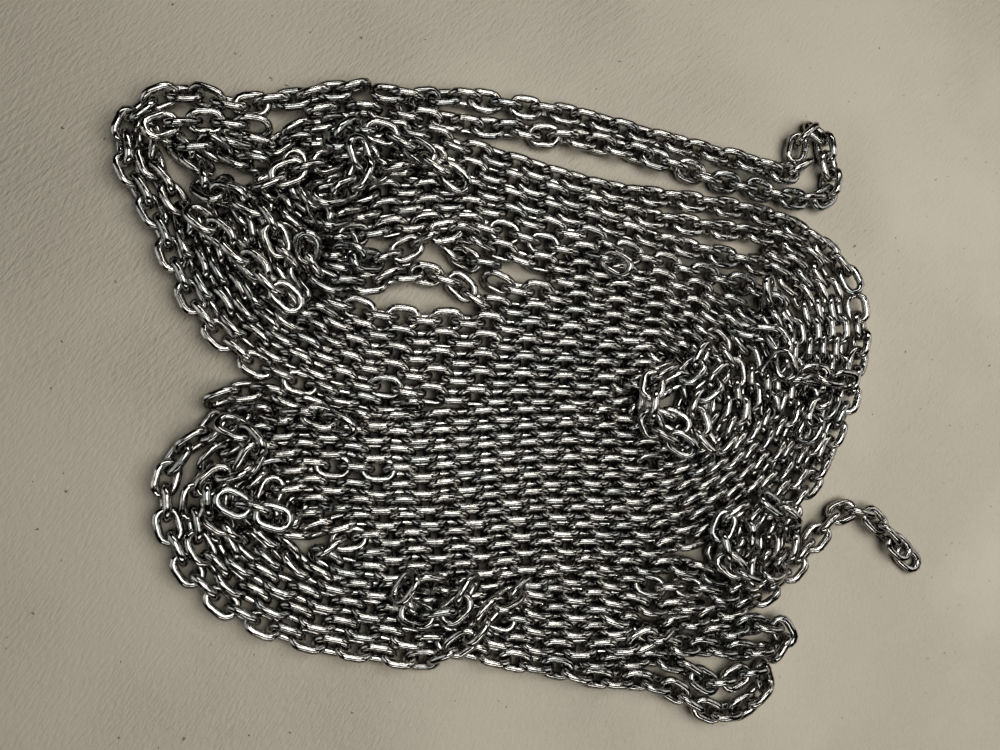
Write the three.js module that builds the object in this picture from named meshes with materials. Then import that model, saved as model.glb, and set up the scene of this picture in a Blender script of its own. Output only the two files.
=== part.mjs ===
// Heap of short-link chain, flaked to and fro on a floor. Millimetres, +Z up, the floor at z = 0.
// The chain is laid as stretches: each is one solid with one faceted section a link, leaning
// left on one link and right on the next. The last link at the free end is a full ring.
import * as THREE from "three";

// Link of 8 mm wire
const WIRE_DIAMETER = 8;
const LINK_PITCH = 24;
const LINK_INNER_WIDTH = 11.2;
const LINK_MID_WIDTH = LINK_INNER_WIDTH + WIRE_DIAMETER;

// Section of a laid stretch
const ROW_STEP = 18;
const SEAT_GAP = 0.3;
const HALF_WIDTH = (ROW_STEP - SEAT_GAP) / 2;
const HALF_HEIGHT = 10.8;
const HEIGHT_STRETCH = HALF_HEIGHT / HALF_WIDTH;
const SECTION_ANGLES = [0, 60, 120, 180, 240, 300].map((degrees) => (degrees * Math.PI) / 180);
const LEANING_CORNERS = [1, 2];
const LEAN_SHARE = 0.72;
const FLOOR_CENTRE = HALF_HEIGHT * Math.sin(Math.PI / 3);

// How the chain settles
const SETTLING_ROUNDS = 260;
const ROUNDS_PER_LISTING = 10;
const LAYER_DROP = 9;
const FALL = 0.5;
const TRACE_PULL = 0.03;
const ROW_SMOOTHING = 0.05;
const ROUTE_BEND = 0.85;
const ALONG_PULL = 0.002;
const CROSSING_COSINE = 0.8;
const CROSSING_SIDE_SHARE = 0.3;
const NESTING_COSINE = 0.94;
const NESTING_REACH = 1.4 * ROW_STEP;
const NESTING_PULL = 0.12;
const LAID_PITCH = 23.5;
const SLACKEST_STEP = 0.93;
const STEP_TOLERANCE = 1e-6;
const CONTACT_SHARE = 1.3;

// How the chain is cut into stretches
const LINKS_PER_STRETCH = 42;
const LARGEST_TURN = (135 * Math.PI) / 180;
const FEWEST_LINKS = 9;

// View from above in which the routes are given: its middle, its focal length and its slant over the floor
const VIEW_MIDDLE_U = 500;
const VIEW_MIDDLE_V = 375;
const VIEW_FOCAL = 751;
const VIEW_DISTANCE = 830;
const VIEW_SLANT_U = -2.847e-4;
const VIEW_SLANT_V = 8.82e-5;
const TRACE_HEIGHT = 11;

const floorNormal = new THREE.Vector3(VIEW_SLANT_U * VIEW_FOCAL, VIEW_SLANT_V * VIEW_FOCAL, 1)
  .normalize()
  .negate();
const floorRight = new THREE.Vector3(1, 0, 0)
  .addScaledVector(floorNormal, -floorNormal.x)
  .normalize();
const floorUp = new THREE.Vector3().crossVectors(floorNormal, floorRight);

// A point of the view laid on the plane of the link middles.
function floorPoint([u, v]) {
  const ray = new THREE.Vector3((u - VIEW_MIDDLE_U) / VIEW_FOCAL, (v - VIEW_MIDDLE_V) / VIEW_FOCAL, 1);
  const origin = new THREE.Vector3(0, 0, VIEW_DISTANCE);
  const reach = (origin.dot(floorNormal) + TRACE_HEIGHT) / ray.dot(floorNormal);
  const hit = ray.multiplyScalar(reach).sub(origin);
  return new THREE.Vector2(hit.dot(floorRight), hit.dot(floorUp));
}

// Lengths of chain. Each is a list of runs, from end to end; a run with the higher layer lies on the lower.
const CHAINS = [
  {
    name: "outer_turn",
    runs: [
      { layer: 9, route: [[594, 143], [568, 138], [540, 135], [512, 131], [485, 128], [458, 127], [432, 123],
        [408, 121], [390, 114], [368, 115], [345, 118], [322, 122], [300, 130]].reverse() },
      { layer: 10, route: [[620, 148], [645, 156], [668, 164], [690, 172], [712, 180], [735, 184], [757, 190],
        [778, 197], [800, 201], [822, 197], [836, 190], [829, 176], [824, 160], [822, 142], [813, 125],
        [803, 136], [801, 154], [802, 170], [788, 176], [765, 168], [740, 161], [715, 156], [690, 149],
        [665, 143], [640, 137], [615, 129], [590, 121], [562, 115], [535, 110], [508, 107], [482, 101],
        [455, 99], [430, 101], [408, 104], [385, 104], [360, 98], [335, 101], [310, 105], [285, 105],
        [262, 104], [238, 107], [215, 103], [195, 95], [178, 89], [160, 95], [147, 108], [133, 120],
        [122, 133]] },
      { layer: 1, route: [[128, 147], [141, 166], [146, 190], [156, 212], [167, 234], [178, 256], [186, 285],
        [194, 314], [214, 336], [240, 354], [270, 373], [300, 390], [330, 399], [360, 404], [388, 408],
        [414, 411]] },
    ],
  },
  {
    name: "row_a",
    runs: [
      { layer: 9, route: [[262, 136], [240, 130], [214, 126], [190, 128], [168, 133], [150, 142]] },
      { layer: 2, route: [[138, 156], [150, 170], [164, 187], [179, 201], [189, 221], [197, 240], [205, 262],
        [222, 290], [240, 318], [262, 340], [285, 358], [310, 372], [340, 384], [370, 392], [400, 396],
        [440, 397], [480, 399], [520, 400], [560, 398], [595, 398], [620, 400], [640, 399], [650, 405],
        [640, 411]] },
      { layer: 3, route: [[618, 411], [590, 413], [560, 413], [520, 415], [480, 420], [440, 425], [400, 426],
        [360, 421], [325, 411], [300, 403], [275, 397], [250, 395], [230, 399], [215, 412], [213, 428],
        [198, 440], [182, 448], [169, 462], [163, 480], [161, 502], [164, 524], [170, 542], [176, 560],
        [186, 580], [200, 596], [216, 608], [236, 620], [258, 629], [283, 638], [308, 643], [335, 646],
        [362, 646], [388, 648], [412, 646], [436, 643]] },
      { layer: 8, route: [[452, 641], [468, 626], [484, 611], [500, 597], [515, 583]] },
      { layer: 4, route: [[532, 577], [552, 583], [575, 592], [600, 599], [625, 604], [650, 607], [680, 608],
        [705, 604]] },
    ],
  },
  {
    name: "row_b",
    runs: [
      { layer: 2, route: [[206, 222], [216, 242], [226, 262], [240, 285], [258, 308], [280, 328], [305, 345],
        [335, 362], [365, 373], [400, 378], [440, 378], [480, 380], [520, 384], [560, 383], [590, 382],
        [620, 384], [640, 377], [655, 368], [676, 372], [684, 390], [684, 412], [674, 430], [655, 433],
        [630, 430], [600, 428], [560, 427], [520, 430], [480, 437], [440, 441], [400, 440], [360, 437],
        [325, 431], [295, 427], [268, 426], [243, 431], [224, 446], [208, 463], [199, 484], [195, 504],
        [201, 524], [211, 542], [222, 557], [235, 572], [250, 584], [268, 594], [286, 604], [306, 613],
        [330, 618], [354, 622], [380, 628], [405, 632], [430, 629], [458, 634], [478, 645], [500, 650],
        [525, 653], [550, 656], [572, 662], [594, 668], [616, 669], [638, 673], [658, 679], [676, 690],
        [692, 700], [708, 710], [726, 713], [742, 706], [752, 692], [765, 692], [769, 676], [760, 665],
        [744, 670], [728, 680], [710, 680], [694, 671], [680, 658], [662, 653], [640, 654], [616, 654],
        [594, 652]] },
    ],
  },
  {
    name: "row_c",
    runs: [
      { layer: 3, route: [[236, 208], [239, 226], [242, 246], [250, 268], [264, 290], [282, 310], [305, 328],
        [330, 343], [360, 355], [400, 360], [440, 360], [480, 362], [520, 366], [560, 367], [590, 366],
        [620, 366], [645, 366], [664, 366], [674, 358], [664, 351], [645, 352], [620, 351], [590, 349],
        [560, 349],
        [520, 347], [480, 343], [440, 342], [410, 343], [380, 341], [350, 334], [325, 320], [300, 302],
        [282, 282], [268, 262], [260, 242], [254, 224]] },
    ],
  },
  {
    name: "row_f",
    runs: [
      { layer: 7, route: [[310, 250], [300, 268], [310, 282], [330, 288], [350, 284], [368, 276]] },
      { layer: 4, route: [[388, 268], [410, 270], [432, 276], [456, 287], [480, 301], [504, 311], [530, 315],
        [560, 315], [590, 316], [620, 319], [650, 325], [678, 333], [702, 346], [716, 364], [722, 388],
        [722, 412], [715, 436], [700, 453], [678, 464], [650, 469], [620, 466], [590, 462], [560, 460],
        [520, 463], [480, 469], [440, 473], [400, 474], [360, 470], [325, 463], [300, 460], [275, 460],
        [253, 468], [238, 482], [230, 500], [238, 518], [252, 535], [270, 547], [288, 560], [305, 572],
        [325, 579], [348, 580], [368, 578], [392, 583], [415, 592]] },
    ],
  },
  {
    name: "row_g",
    runs: [
      { layer: 4, route: [[446, 226], [452, 238], [468, 252], [482, 270], [497, 281], [515, 290], [540, 296],
        [565, 299], [590, 300], [618, 303], [648, 309], [678, 317], [705, 328], [724, 345], [735, 368],
        [739, 392], [738, 416], [730, 440], [715, 460], [693, 475], [665, 483], [635, 484], [610, 481],
        [590, 478], [560, 476], [520, 480], [480, 485], [440, 489], [400, 488], [360, 485], [325, 478],
        [300, 474], [280, 478], [266, 490], [262, 505], [275, 514]] },
    ],
  },
  {
    name: "row_h",
    runs: [
      { layer: 4, route: [[556, 273], [583, 286], [605, 293], [630, 298], [655, 300], [685, 305],
        [712, 316], [735, 330], [748, 350], [755, 375], [757, 400],
        [755, 425], [745, 447], [731, 467], [711, 483], [687, 493], [660, 498], [635, 499], [610, 497],
        [590, 495], [560, 493], [520, 496], [480, 501], [440, 505], [400, 503], [360, 500], [325, 495],
        [302, 492], [285, 505], [283, 525], [297, 535], [310, 522]] },
    ],
  },
  {
    name: "row_i",
    runs: [
      { layer: 7, route: [[222, 198], [230, 187], [243, 184], [255, 192], [264, 205], [273, 220],
        [285, 233], [299, 240], [317, 246]] },
      { layer: 6, route: [[335, 246], [352, 252], [370, 262], [388, 264], [410, 257], [430, 244], [447, 229],
        [462, 219]] },
      { layer: 5, route: [[480, 226], [500, 229], [522, 241], [545, 252], [568, 262], [592, 272], [617, 282],
        [642, 288], [668, 291], [692, 294], [715, 302], [740, 310], [758, 322], [770, 345], [774, 372],
        [776, 398], [773, 423], [764, 447], [751, 467], [735, 485], [713, 500], [688, 509], [660, 514],
        [635, 515], [610, 513], [590, 511], [560, 509], [520, 512], [480, 517], [440, 521], [400, 519],
        [365, 515], [340, 510], [318, 520]] },
    ],
  },
  {
    name: "row_j",
    runs: [
      { layer: 7, route: [[300, 160], [288, 172], [294, 188], [308, 200], [318, 216], [332, 229],
        [350, 222]] },
      { layer: 5, route: [[372, 212], [400, 203], [428, 199], [455, 202], [480, 210], [505, 220], [530, 232],
        [555, 239], [580, 243], [605, 248], [630, 256], [655, 264], [680, 271], [705, 277], [730, 281],
        [755, 287], [776, 296], [788, 315], [793, 340], [794, 365], [793, 390], [789, 414], [780, 437],
        [768, 458], [752, 478], [734, 496], [711, 509], [686, 519], [660, 526], [635, 530], [610, 529],
        [590, 527], [560, 525], [520, 528], [480, 533], [440, 536], [400, 534], [365, 531], [338, 532],
        [322, 545], [327, 562], [348, 567], [374, 564], [400, 562], [440, 563], [480, 563], [520, 559],
        [560, 557], [590, 560], [615, 562], [640, 561], [665, 559], [685, 565], [700, 573], [716, 578],
        [732, 572], [722, 560], [718, 540], [732, 522], [752, 508], [772, 495], [788, 478], [800, 456],
        [811, 434], [821, 412], [829, 390], [833, 366], [837, 344], [836, 320], [831, 297], [821, 277],
        [808, 260], [790, 246], [772, 237], [750, 233], [725, 232], [700, 229], [675, 224], [650, 219],
        [625, 214], [600, 210], [575, 205], [550, 198], [525, 190], [500, 182], [475, 175], [450, 171],
        [425, 166], [408, 164], [388, 160]] },
      { layer: 7, route: [[366, 150], [345, 144], [322, 148], [300, 148]] },
    ],
  },
  {
    name: "row_k",
    runs: [
      { layer: 7, route: [[340, 170], [320, 175], [305, 182], [322, 190], [345, 194]] },
      { layer: 5, route: [[370, 190], [400, 183], [428, 182], [452, 187], [475, 190], [500, 197], [525, 206],
        [550, 215], [575, 222], [600, 230], [625, 236], [650, 243], [675, 250], [700, 254], [725, 259],
        [750, 259], [775, 263], [793, 272], [806, 290], [812, 315], [813, 342], [811, 368], [810, 392],
        [804, 415], [795, 440], [783, 462], [768, 483], [748, 502], [724, 518], [698, 531], [672, 540],
        [645, 547], [620, 547], [590, 543], [560, 541], [520, 544], [480, 549], [440, 551], [400, 549],
        [370, 545]] },
    ],
  },
  {
    name: "row_m",
    runs: [
      { layer: 5, route: [[378, 138], [400, 138], [425, 141], [448, 148], [472, 155], [497, 162], [521, 172],
        [546, 180], [571, 187], [596, 193], [621, 196], [646, 198], [671, 199], [696, 203], [721, 208],
        [746, 211], [768, 217], [790, 227], [810, 239], [829, 253], [844, 270], [853, 290], [859, 312],
        [860, 337], [856, 362], [848, 385], [838, 408], [827, 432], [820, 455], [811, 478], [798, 497],
        [782, 506], [768, 518], [775, 534], [765, 550], [770, 567], [757, 578], [742, 592], [720, 599],
        [695, 598], [670, 594], [645, 588], [620, 582], [600, 578], [580, 575], [555, 573], [525, 573],
        [500, 575], [470, 577], [440, 576], [412, 577], [398, 587], [405, 600], [425, 603], [448, 601],
        [470, 598]] },
    ],
  },
  {
    name: "inner_loop",
    seat: 2.4,
    runs: [
      { layer: 5, route: [[225, 497], [245, 505], [268, 512]] },
    ],
  },
  {
    name: "lower_bight",
    runs: [
      { layer: 5, route: [[480, 607], [505, 617], [530, 622], [560, 624], [590, 626], [620, 629], [650, 633],
        [680, 633], [704, 641], [727, 650], [750, 656], [770, 651], [781, 639], [769, 627], [748, 621],
        [725, 618], [700, 618]] },
    ],
  },
  {
    name: "lower_row",
    runs: [
      { layer: 5, route: [[500, 603], [525, 604], [550, 607], [575, 611], [600, 616], [625, 621]] },
    ],
  },
  {
    name: "crossing_turn",
    runs: [
      { layer: 9, route: [[240, 150], [262, 152], [280, 158], [296, 146], [308, 130], [330, 121], [352, 127],
        [372, 136], [394, 146], [412, 158], [430, 172], [448, 186]] },
    ],
  },
  {
    name: "tangle_a",
    runs: [
      { layer: 8, route: [[262, 165], [240, 160], [228, 147], [212, 136], [198, 140]] },
    ],
  },
  {
    name: "tangle_b",
    seat: 3.9,
    runs: [
      { layer: 9, route: [[350, 150], [332, 160], [345, 168], [360, 178], [348, 192], [328, 200],
        [310, 206]] },
    ],
  },
  {
    name: "tangle_c",
    runs: [
      { layer: 6, route: [[265, 180], [276, 192], [272, 206], [284, 220], [300, 233], [320, 240], [345, 236],
        [366, 226], [388, 218], [410, 212], [432, 210]] },
    ],
  },
  {
    name: "tangle_d",
    seat: 2.2,
    runs: [
      { layer: 6, route: [[205, 220], [222, 236], [238, 252], [256, 268], [275, 288], [294, 306]] },
    ],
  },
  {
    name: "centre_turn",
    seat: 1.3,
    runs: [
      { layer: 6, route: [[692, 350], [688, 367], [668, 378], [648, 386], [640, 402], [650, 420],
        [668, 428]] },
    ],
  },
  {
    name: "right_turn",
    seat: 2.2,
    runs: [
      { layer: 10, route: [[738, 326], [756, 329], [768, 342], [768, 358], [776, 373], [794, 376], [812, 380],
        [830, 384]] },
    ],
  },
  {
    name: "corner_turn",
    seat: 1.8,
    runs: [
      { layer: 8, route: [[742, 512], [726, 530], [734, 548], [752, 556], [752, 574]] },
    ],
  },
  {
    name: "fan_row",
    runs: [
      { layer: 6, route: [[432, 212], [458, 214], [483, 219], [507, 228], [531, 240], [555, 247], [578, 254],
        [598, 264], [614, 280]] },
    ],
  },
  {
    name: "tangle_e",
    seat: 2.9,
    runs: [
      { layer: 8, route: [[262, 193], [273, 182], [289, 174], [305, 178], [322, 174], [340, 168], [356, 165],
        [374, 162]] },
    ],
  },
  {
    name: "tangle_f",
    seat: 1.3,
    runs: [
      { layer: 8, route: [[318, 204], [334, 197], [348, 187], [363, 178], [378, 170], [394, 168]] },
    ],
  },
  {
    name: "tangle_g",
    runs: [
      { layer: 5, route: [[236, 203], [246, 218], [252, 234], [260, 249], [268, 265], [275, 281],
        [284, 296]] },
    ],
  },
  {
    name: "tangle_h",
    runs: [
      { layer: 3, route: [[330, 262], [346, 272], [362, 262], [352, 244], [334, 234], [314, 222], [296, 210],
        [280, 198], [284, 182], [302, 168], [324, 158], [346, 158], [366, 168], [386, 176], [408, 178],
        [430, 180]] },
    ],
  },
  {
    name: "side_row",
    runs: [
      { layer: 8, route: [[770, 250], [788, 261], [804, 275], [817, 292], [823, 315], [824, 340], [821, 365],
        [814, 388], [805, 410], [796, 432]] },
    ],
  },
  {
    name: "side_turn",
    runs: [
      { layer: 8, route: [[768, 296], [775, 312], [785, 328], [787, 346], [779, 362], [766, 376], [762, 394],
        [768, 412]] },
    ],
  },
  {
    name: "centre_b",
    seat: 2.9,
    runs: [
      { layer: 7, route: [[662, 360], [648, 372], [636, 386], [633, 402], [638, 418], [650, 430],
        [668, 440]] },
    ],
  },
  {
    name: "centre_c",
    seat: 2.6,
    runs: [
      { layer: 7, route: [[706, 384], [696, 398], [686, 412], [688, 430], [700, 444]] },
    ],
  },
  {
    name: "corner_b",
    seat: 2.4,
    runs: [
      { layer: 8, route: [[756, 500], [770, 511], [782, 525], [781, 542], [770, 556], [755, 566]] },
    ],
  },
  {
    name: "corner_c",
    seat: 1.8,
    runs: [
      { layer: 8, route: [[724, 520], [714, 534], [711, 550], [718, 565], [732, 577], [748, 580]] },
    ],
  },
  {
    name: "lower_cross",
    seat: 3.1,
    runs: [
      { layer: 7, route: [[464, 577], [454, 590], [444, 603], [430, 613], [412, 612]] },
    ],
  },
  {
    name: "loop_top",
    runs: [
      { layer: 6, route: [[222, 428], [234, 416], [252, 411], [272, 413], [292, 417], [314, 421],
        [338, 424]] },
    ],
  },
  {
    name: "left_turn",
    seat: 1.5,
    runs: [
      { layer: 6, route: [[236, 432], [250, 442], [256, 458], [246, 472], [230, 480], [214, 486], [204, 498],
        [210, 513], [226, 524], [246, 534], [264, 547], [282, 560]] },
    ],
  },
  {
    name: "row_e",
    runs: [
      { layer: 8, route: [[150, 142], [172, 149], [190, 158], [204, 166], [214, 178], [212, 194], [224, 202],
        [240, 196], [254, 202], [264, 215], [276, 232], [288, 250], [294, 270], [300, 288]] },
      { layer: 4, route: [[312, 300], [328, 309], [344, 318], [362, 322], [380, 321], [415, 323], [440, 323],
        [480, 323], [515, 328], [540, 331], [565, 332], [590, 333], [620, 335], [650, 340], [675, 346],
        [694, 358], [703, 376], [705, 400], [701, 422], [688, 440], [665, 451], [640, 455], [615, 450],
        [590, 445], [560, 443], [520, 447], [480, 453], [440, 457], [400, 458], [360, 455], [325, 447],
        [297, 442], [270, 442], [247, 450], [230, 465], [217, 482], [210, 500], [215, 520], [227, 537],
        [243, 550], [260, 563], [275, 577], [292, 587], [312, 597], [335, 603], [358, 608], [382, 613],
        [410, 615], [440, 612], [470, 618], [495, 630], [520, 637], [545, 641]] },
      { layer: 9, route: [[566, 646], [582, 645], [605, 640], [630, 634], [655, 629], [680, 621],
        [705, 614], [730, 607], [752, 598], [771, 587], [788, 572], [801, 555], [812, 538], [825, 524],
        [837, 508], [854, 504], [870, 515], [883, 533], [899, 548]] },
    ],
  },
];

// Points at an even step along a line of points, with the first and the last kept.
function evenSteps(points, step) {
  const lengths = [0];
  for (let i = 1; i < points.length; i += 1) {
    lengths.push(lengths[i - 1] + points[i].distanceTo(points[i - 1]));
  }
  const total = lengths[lengths.length - 1];
  const count = Math.max(2, Math.round(total / step));
  const out = [];
  let k = 1;
  for (let i = 0; i <= count; i += 1) {
    const at = (total * i) / count;
    while (k < points.length - 1 && lengths[k] < at) k += 1;
    const share = (at - lengths[k - 1]) / (lengths[k] - lengths[k - 1]);
    out.push({ place: points[k - 1].clone().lerp(points[k], share), segment: k - 1 });
  }
  return out;
}

// A smooth line through the points of a route, so that the links turn evenly.
function smoothRoute(points) {
  const curve = new THREE.CatmullRomCurve3(
    points.map((p) => new THREE.Vector3(p.x, p.y, 0)),
    false,
    "centripetal",
  );
  const samples = [];
  const owners = [];
  const per = 4;
  for (let i = 0; i < (points.length - 1) * per; i += 1) {
    const p = curve.getPoint(i / ((points.length - 1) * per));
    samples.push(new THREE.Vector2(p.x, p.y));
    owners.push(Math.floor(i / per));
  }
  samples.push(points[points.length - 1].clone());
  owners.push(points.length - 2);
  return { samples, owners };
}

// The middles of the links of one length of chain, each with the layer of its run.
function placeLinks(chain, index) {
  const points = [];
  const layers = [];
  for (const run of chain.runs) {
    for (const spot of run.route) {
      points.push(floorPoint(spot));
      layers.push(run.layer);
    }
  }
  const { samples, owners } = smoothRoute(points);
  return evenSteps(samples, LAID_PITCH).map(({ place, segment }, order) => ({
    chain: index,
    order,
    x: place.x,
    y: place.y,
    z: FLOOR_CENTRE + LAYER_DROP * (layers[owners[segment]] - 1),
    homeX: place.x,
    homeY: place.y,
    layer: layers[owners[segment]],
  }));
}

const laid = CHAINS.map(placeLinks);
const links = laid.flat();
const steps = [];
for (const row of laid) {
  for (let i = 0; i + 1 < row.length; i += 1) {
    steps.push({ a: row[i], b: row[i + 1], layer: (row[i].layer + row[i + 1].layer) / 2 });
  }
}

const alternateSteps = [0, 1].map((side) => steps.filter((step) => step.a.order % 2 === side));

// Nearest points of two steps of chain, with heights drawn in to the width, so that round distances count.
function nearest(s, t) {
  const ax = s.b.x - s.a.x;
  const ay = s.b.y - s.a.y;
  const az = (s.b.z - s.a.z) / HEIGHT_STRETCH;
  const bx = t.b.x - t.a.x;
  const by = t.b.y - t.a.y;
  const bz = (t.b.z - t.a.z) / HEIGHT_STRETCH;
  const wx = s.a.x - t.a.x;
  const wy = s.a.y - t.a.y;
  const wz = (s.a.z - t.a.z) / HEIGHT_STRETCH;
  const aa = ax * ax + ay * ay + az * az;
  const bb = bx * bx + by * by + bz * bz;
  const ab = ax * bx + ay * by + az * bz;
  const aw = ax * wx + ay * wy + az * wz;
  const bw = bx * wx + by * wy + bz * wz;
  const clamp = (v) => Math.min(1, Math.max(0, v));
  const span = aa * bb - ab * ab;
  let u = span > 1e-6 * aa * bb ? clamp((ab * bw - aw * bb) / span) : 0.5;
  let v = (ab * u + bw) / bb;
  if (v < 0 || v > 1) {
    v = clamp(v);
    u = clamp((ab * v - aw) / aa);
  }
  return {
    u,
    v,
    x: wx + ax * u - bx * v,
    y: wy + ay * u - by * v,
    z: wz + az * u - bz * v,
    turned: Math.abs(ab) / Math.sqrt(aa * bb),
  };
}

// Pairs of steps that are near enough to touch, the one on top first.
function listPairs(reach) {
  const pairs = [];
  for (let i = 0; i < steps.length; i += 1) {
    for (let j = i + 1; j < steps.length; j += 1) {
      const s = steps[i];
      const t = steps[j];
      if (Math.abs(s.a.x - t.a.x) > reach || Math.abs(s.a.y - t.a.y) > reach) continue;
      if (s.a.chain === t.a.chain && Math.abs(s.a.order - t.a.order) < 3) continue;
      pairs.push(t.layer >= s.layer ? [t, s] : [s, t]);
    }
  }
  return pairs;
}

// Adds a shift of a link to what the round has gathered for it.
function gather(link, x, y, z) {
  link.sum.x += x;
  link.sum.y += y;
  link.sum.z += z;
  link.count += 1;
}

// Touching steps push each other apart: sideways where they run alike, up and down where they cross.
function gatherContact([high, low]) {
  const near = nearest(high, low);
  let { x, y, z } = near;
  if (high.layer > low.layer && near.turned < CROSSING_COSINE) {
    z = Math.max(z, ROW_STEP / 2);
    x *= CROSSING_SIDE_SHARE;
    y *= CROSSING_SIDE_SHARE;
    if (near.z > 0 && Math.hypot(near.x, near.y, near.z) >= ROW_STEP) return;
  }
  const length = Math.hypot(x, y, z) || 1;
  const overlap = near.turned < CROSSING_COSINE && high.layer > low.layer
    ? ROW_STEP - (near.x * x + near.y * y + near.z * z) / length
    : ROW_STEP - length;
  if (overlap <= 0) return;
  const weight = (1 - near.u) ** 2 + near.u ** 2 + (1 - near.v) ** 2 + near.v ** 2;
  const push = overlap / weight / length;
  const put = (link, share) =>
    gather(link, x * push * share, y * push * share, z * push * share * HEIGHT_STRETCH);
  put(high.a, 1 - near.u);
  put(high.b, near.u);
  put(low.a, near.v - 1);
  put(low.b, -near.v);
}

// Rows side by side nest: links that lean alike come abreast, and those that lean apart half a wave off.
function gatherNesting([high, low]) {
  const sx = high.b.x - high.a.x;
  const sy = high.b.y - high.a.y;
  const tx = low.b.x - low.a.x;
  const ty = low.b.y - low.a.y;
  const lengths = Math.hypot(sx, sy) * Math.hypot(tx, ty) || 1;
  const turned = (sx * tx + sy * ty) / lengths;
  if (Math.abs(turned) < NESTING_COSINE) return;
  const wayLength = Math.hypot(sx, sy) || 1;
  const wx = sx / wayLength;
  const wy = sy / wayLength;
  const dx = low.a.x - high.a.x;
  const dy = low.a.y - high.a.y;
  const along = dx * wx + dy * wy;
  const across = Math.hypot(dx - along * wx, dy - along * wy, (low.a.z - high.a.z) / HEIGHT_STRETCH);
  if (Math.abs(along) > LINK_PITCH || across > NESTING_REACH) return;
  const alike = (high.a.order + low.a.order) % 2 === (turned > 0 ? 0 : 1);
  const off = alike ? along : along - Math.sign(along || 1) * LINK_PITCH;
  for (const [link, share] of [[high.a, 0.5], [low.a, -0.5]]) {
    link.nest.x += off * share * wx;
    link.nest.y += off * share * wy;
    link.nest.count += 1;
  }
}

// Keeps a link's step to the next near the pitch of the chain.
function gatherStep({ a, b }) {
  const x = b.x - a.x;
  const y = b.y - a.y;
  const z = b.z - a.z;
  const length = Math.hypot(x, y, z) || 1;
  const wanted = Math.min(LINK_PITCH, Math.max(LINK_PITCH * SLACKEST_STEP, length));
  if (Math.abs(length - wanted) < STEP_TOLERANCE) return;
  const share = (length - wanted) / length / 2;
  gather(a, x * share, y * share, z * share);
  gather(b, -x * share, -y * share, -z * share);
}

// Draws the two links of an overlong step together at once.
function holdStep({ a, b }) {
  const x = b.x - a.x;
  const y = b.y - a.y;
  const z = b.z - a.z;
  const length = Math.hypot(x, y, z);
  if (length <= LINK_PITCH) return;
  const share = (length - LINK_PITCH) / length / 2;
  a.x += x * share;
  a.y += y * share;
  a.z += z * share;
  b.x -= x * share;
  b.y -= y * share;
  b.z -= z * share;
}

// Lets the whole heap down on the floor.
function settle() {
  let pairs = [];
  for (let round = 0; round < SETTLING_ROUNDS; round += 1) {
    if (round % ROUNDS_PER_LISTING === 0) pairs = listPairs(LINK_PITCH * 1.5 + ROW_STEP);
    for (const link of links) {
      link.sum = { x: 0, y: 0, z: 0 };
      link.count = 0;
      link.nest = { x: 0, y: 0, count: 0 };
    }
    pairs.forEach(gatherContact);
    pairs.forEach(gatherNesting);
    steps.forEach(gatherStep);
    for (const row of laid) {
      row.forEach((link, i) => {
        const before = row[Math.max(0, i - 1)];
        const after = row[Math.min(row.length - 1, i + 1)];
        const bendX = ROUTE_BEND * ((before.homeX + after.homeX) / 2 - link.homeX);
        const bendY = ROUTE_BEND * ((before.homeY + after.homeY) / 2 - link.homeY);
        link.turnX = ROW_SMOOTHING * ((before.x + after.x) / 2 - link.x - bendX);
        link.turnY = ROW_SMOOTHING * ((before.y + after.y) / 2 - link.y - bendY);
        link.turnZ = ROW_SMOOTHING * ((before.z + after.z) / 2 - link.z);
        const reach = Math.hypot(after.x - before.x, after.y - before.y) || 1;
        const wx = (after.x - before.x) / reach;
        const wy = (after.y - before.y) / reach;
        const along = (link.homeX - link.x) * wx + (link.homeY - link.y) * wy;
        const isEnd = before === link || after === link;
        const eased = isEnd ? 0 : (TRACE_PULL - ALONG_PULL) * along;
        link.pullX = TRACE_PULL * (link.homeX - link.x) - eased * wx;
        link.pullY = TRACE_PULL * (link.homeY - link.y) - eased * wy;
      });
    }
    for (const link of links) {
      const share = CONTACT_SHARE / Math.max(1, link.count);
      const nesting = NESTING_PULL / Math.max(1, link.nest.count);
      link.x += link.sum.x * share + link.nest.x * nesting + link.pullX + link.turnX;
      link.y += link.sum.y * share + link.nest.y * nesting + link.pullY + link.turnY;
      link.z += link.sum.z * share + link.turnZ - FALL;
      link.z = Math.max(link.z, FLOOR_CENTRE);
    }
    alternateSteps.forEach((list) => list.forEach(holdStep));
  }
}

settle();

// The room round each link's middle: half the way to the nearest other chain, less half a seat gap.
function measureRoom() {
  for (const link of links) link.room = HALF_WIDTH;
  const reach = LINK_PITCH * 2 + ROW_STEP;
  for (let i = 0; i < steps.length; i += 1) {
    for (let j = i + 1; j < steps.length; j += 1) {
      const s = steps[i];
      const t = steps[j];
      if (Math.abs(s.a.x - t.a.x) > reach || Math.abs(s.a.y - t.a.y) > reach) continue;
      if (s.a.chain === t.a.chain && Math.abs(s.a.order - t.a.order) < 2) continue;
      const near = nearest(s, t);
      const room = (Math.hypot(near.x, near.y, near.z) - SEAT_GAP) / 2;
      for (const link of [s.a, s.b, t.a, t.b]) link.room = Math.min(link.room, room);
    }
  }
}

// Short lengths that lie across others come down on the flat tops of the sections under them.
function seatShortLengths() {
  laid.forEach((row, index) => {
    for (const link of row) link.z -= CHAINS[index].seat ?? 0;
  });
}

measureRoom();
seatShortLengths();

// The way the chain runs at a link, with heights drawn in to the width.
function wayAt(row, i) {
  const before = row[Math.max(0, i - 1)];
  const after = row[Math.min(row.length - 1, i + 1)];
  return new THREE.Vector3(
    after.x - before.x,
    after.y - before.y,
    (after.z - before.z) / HEIGHT_STRETCH,
  ).normalize();
}

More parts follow.
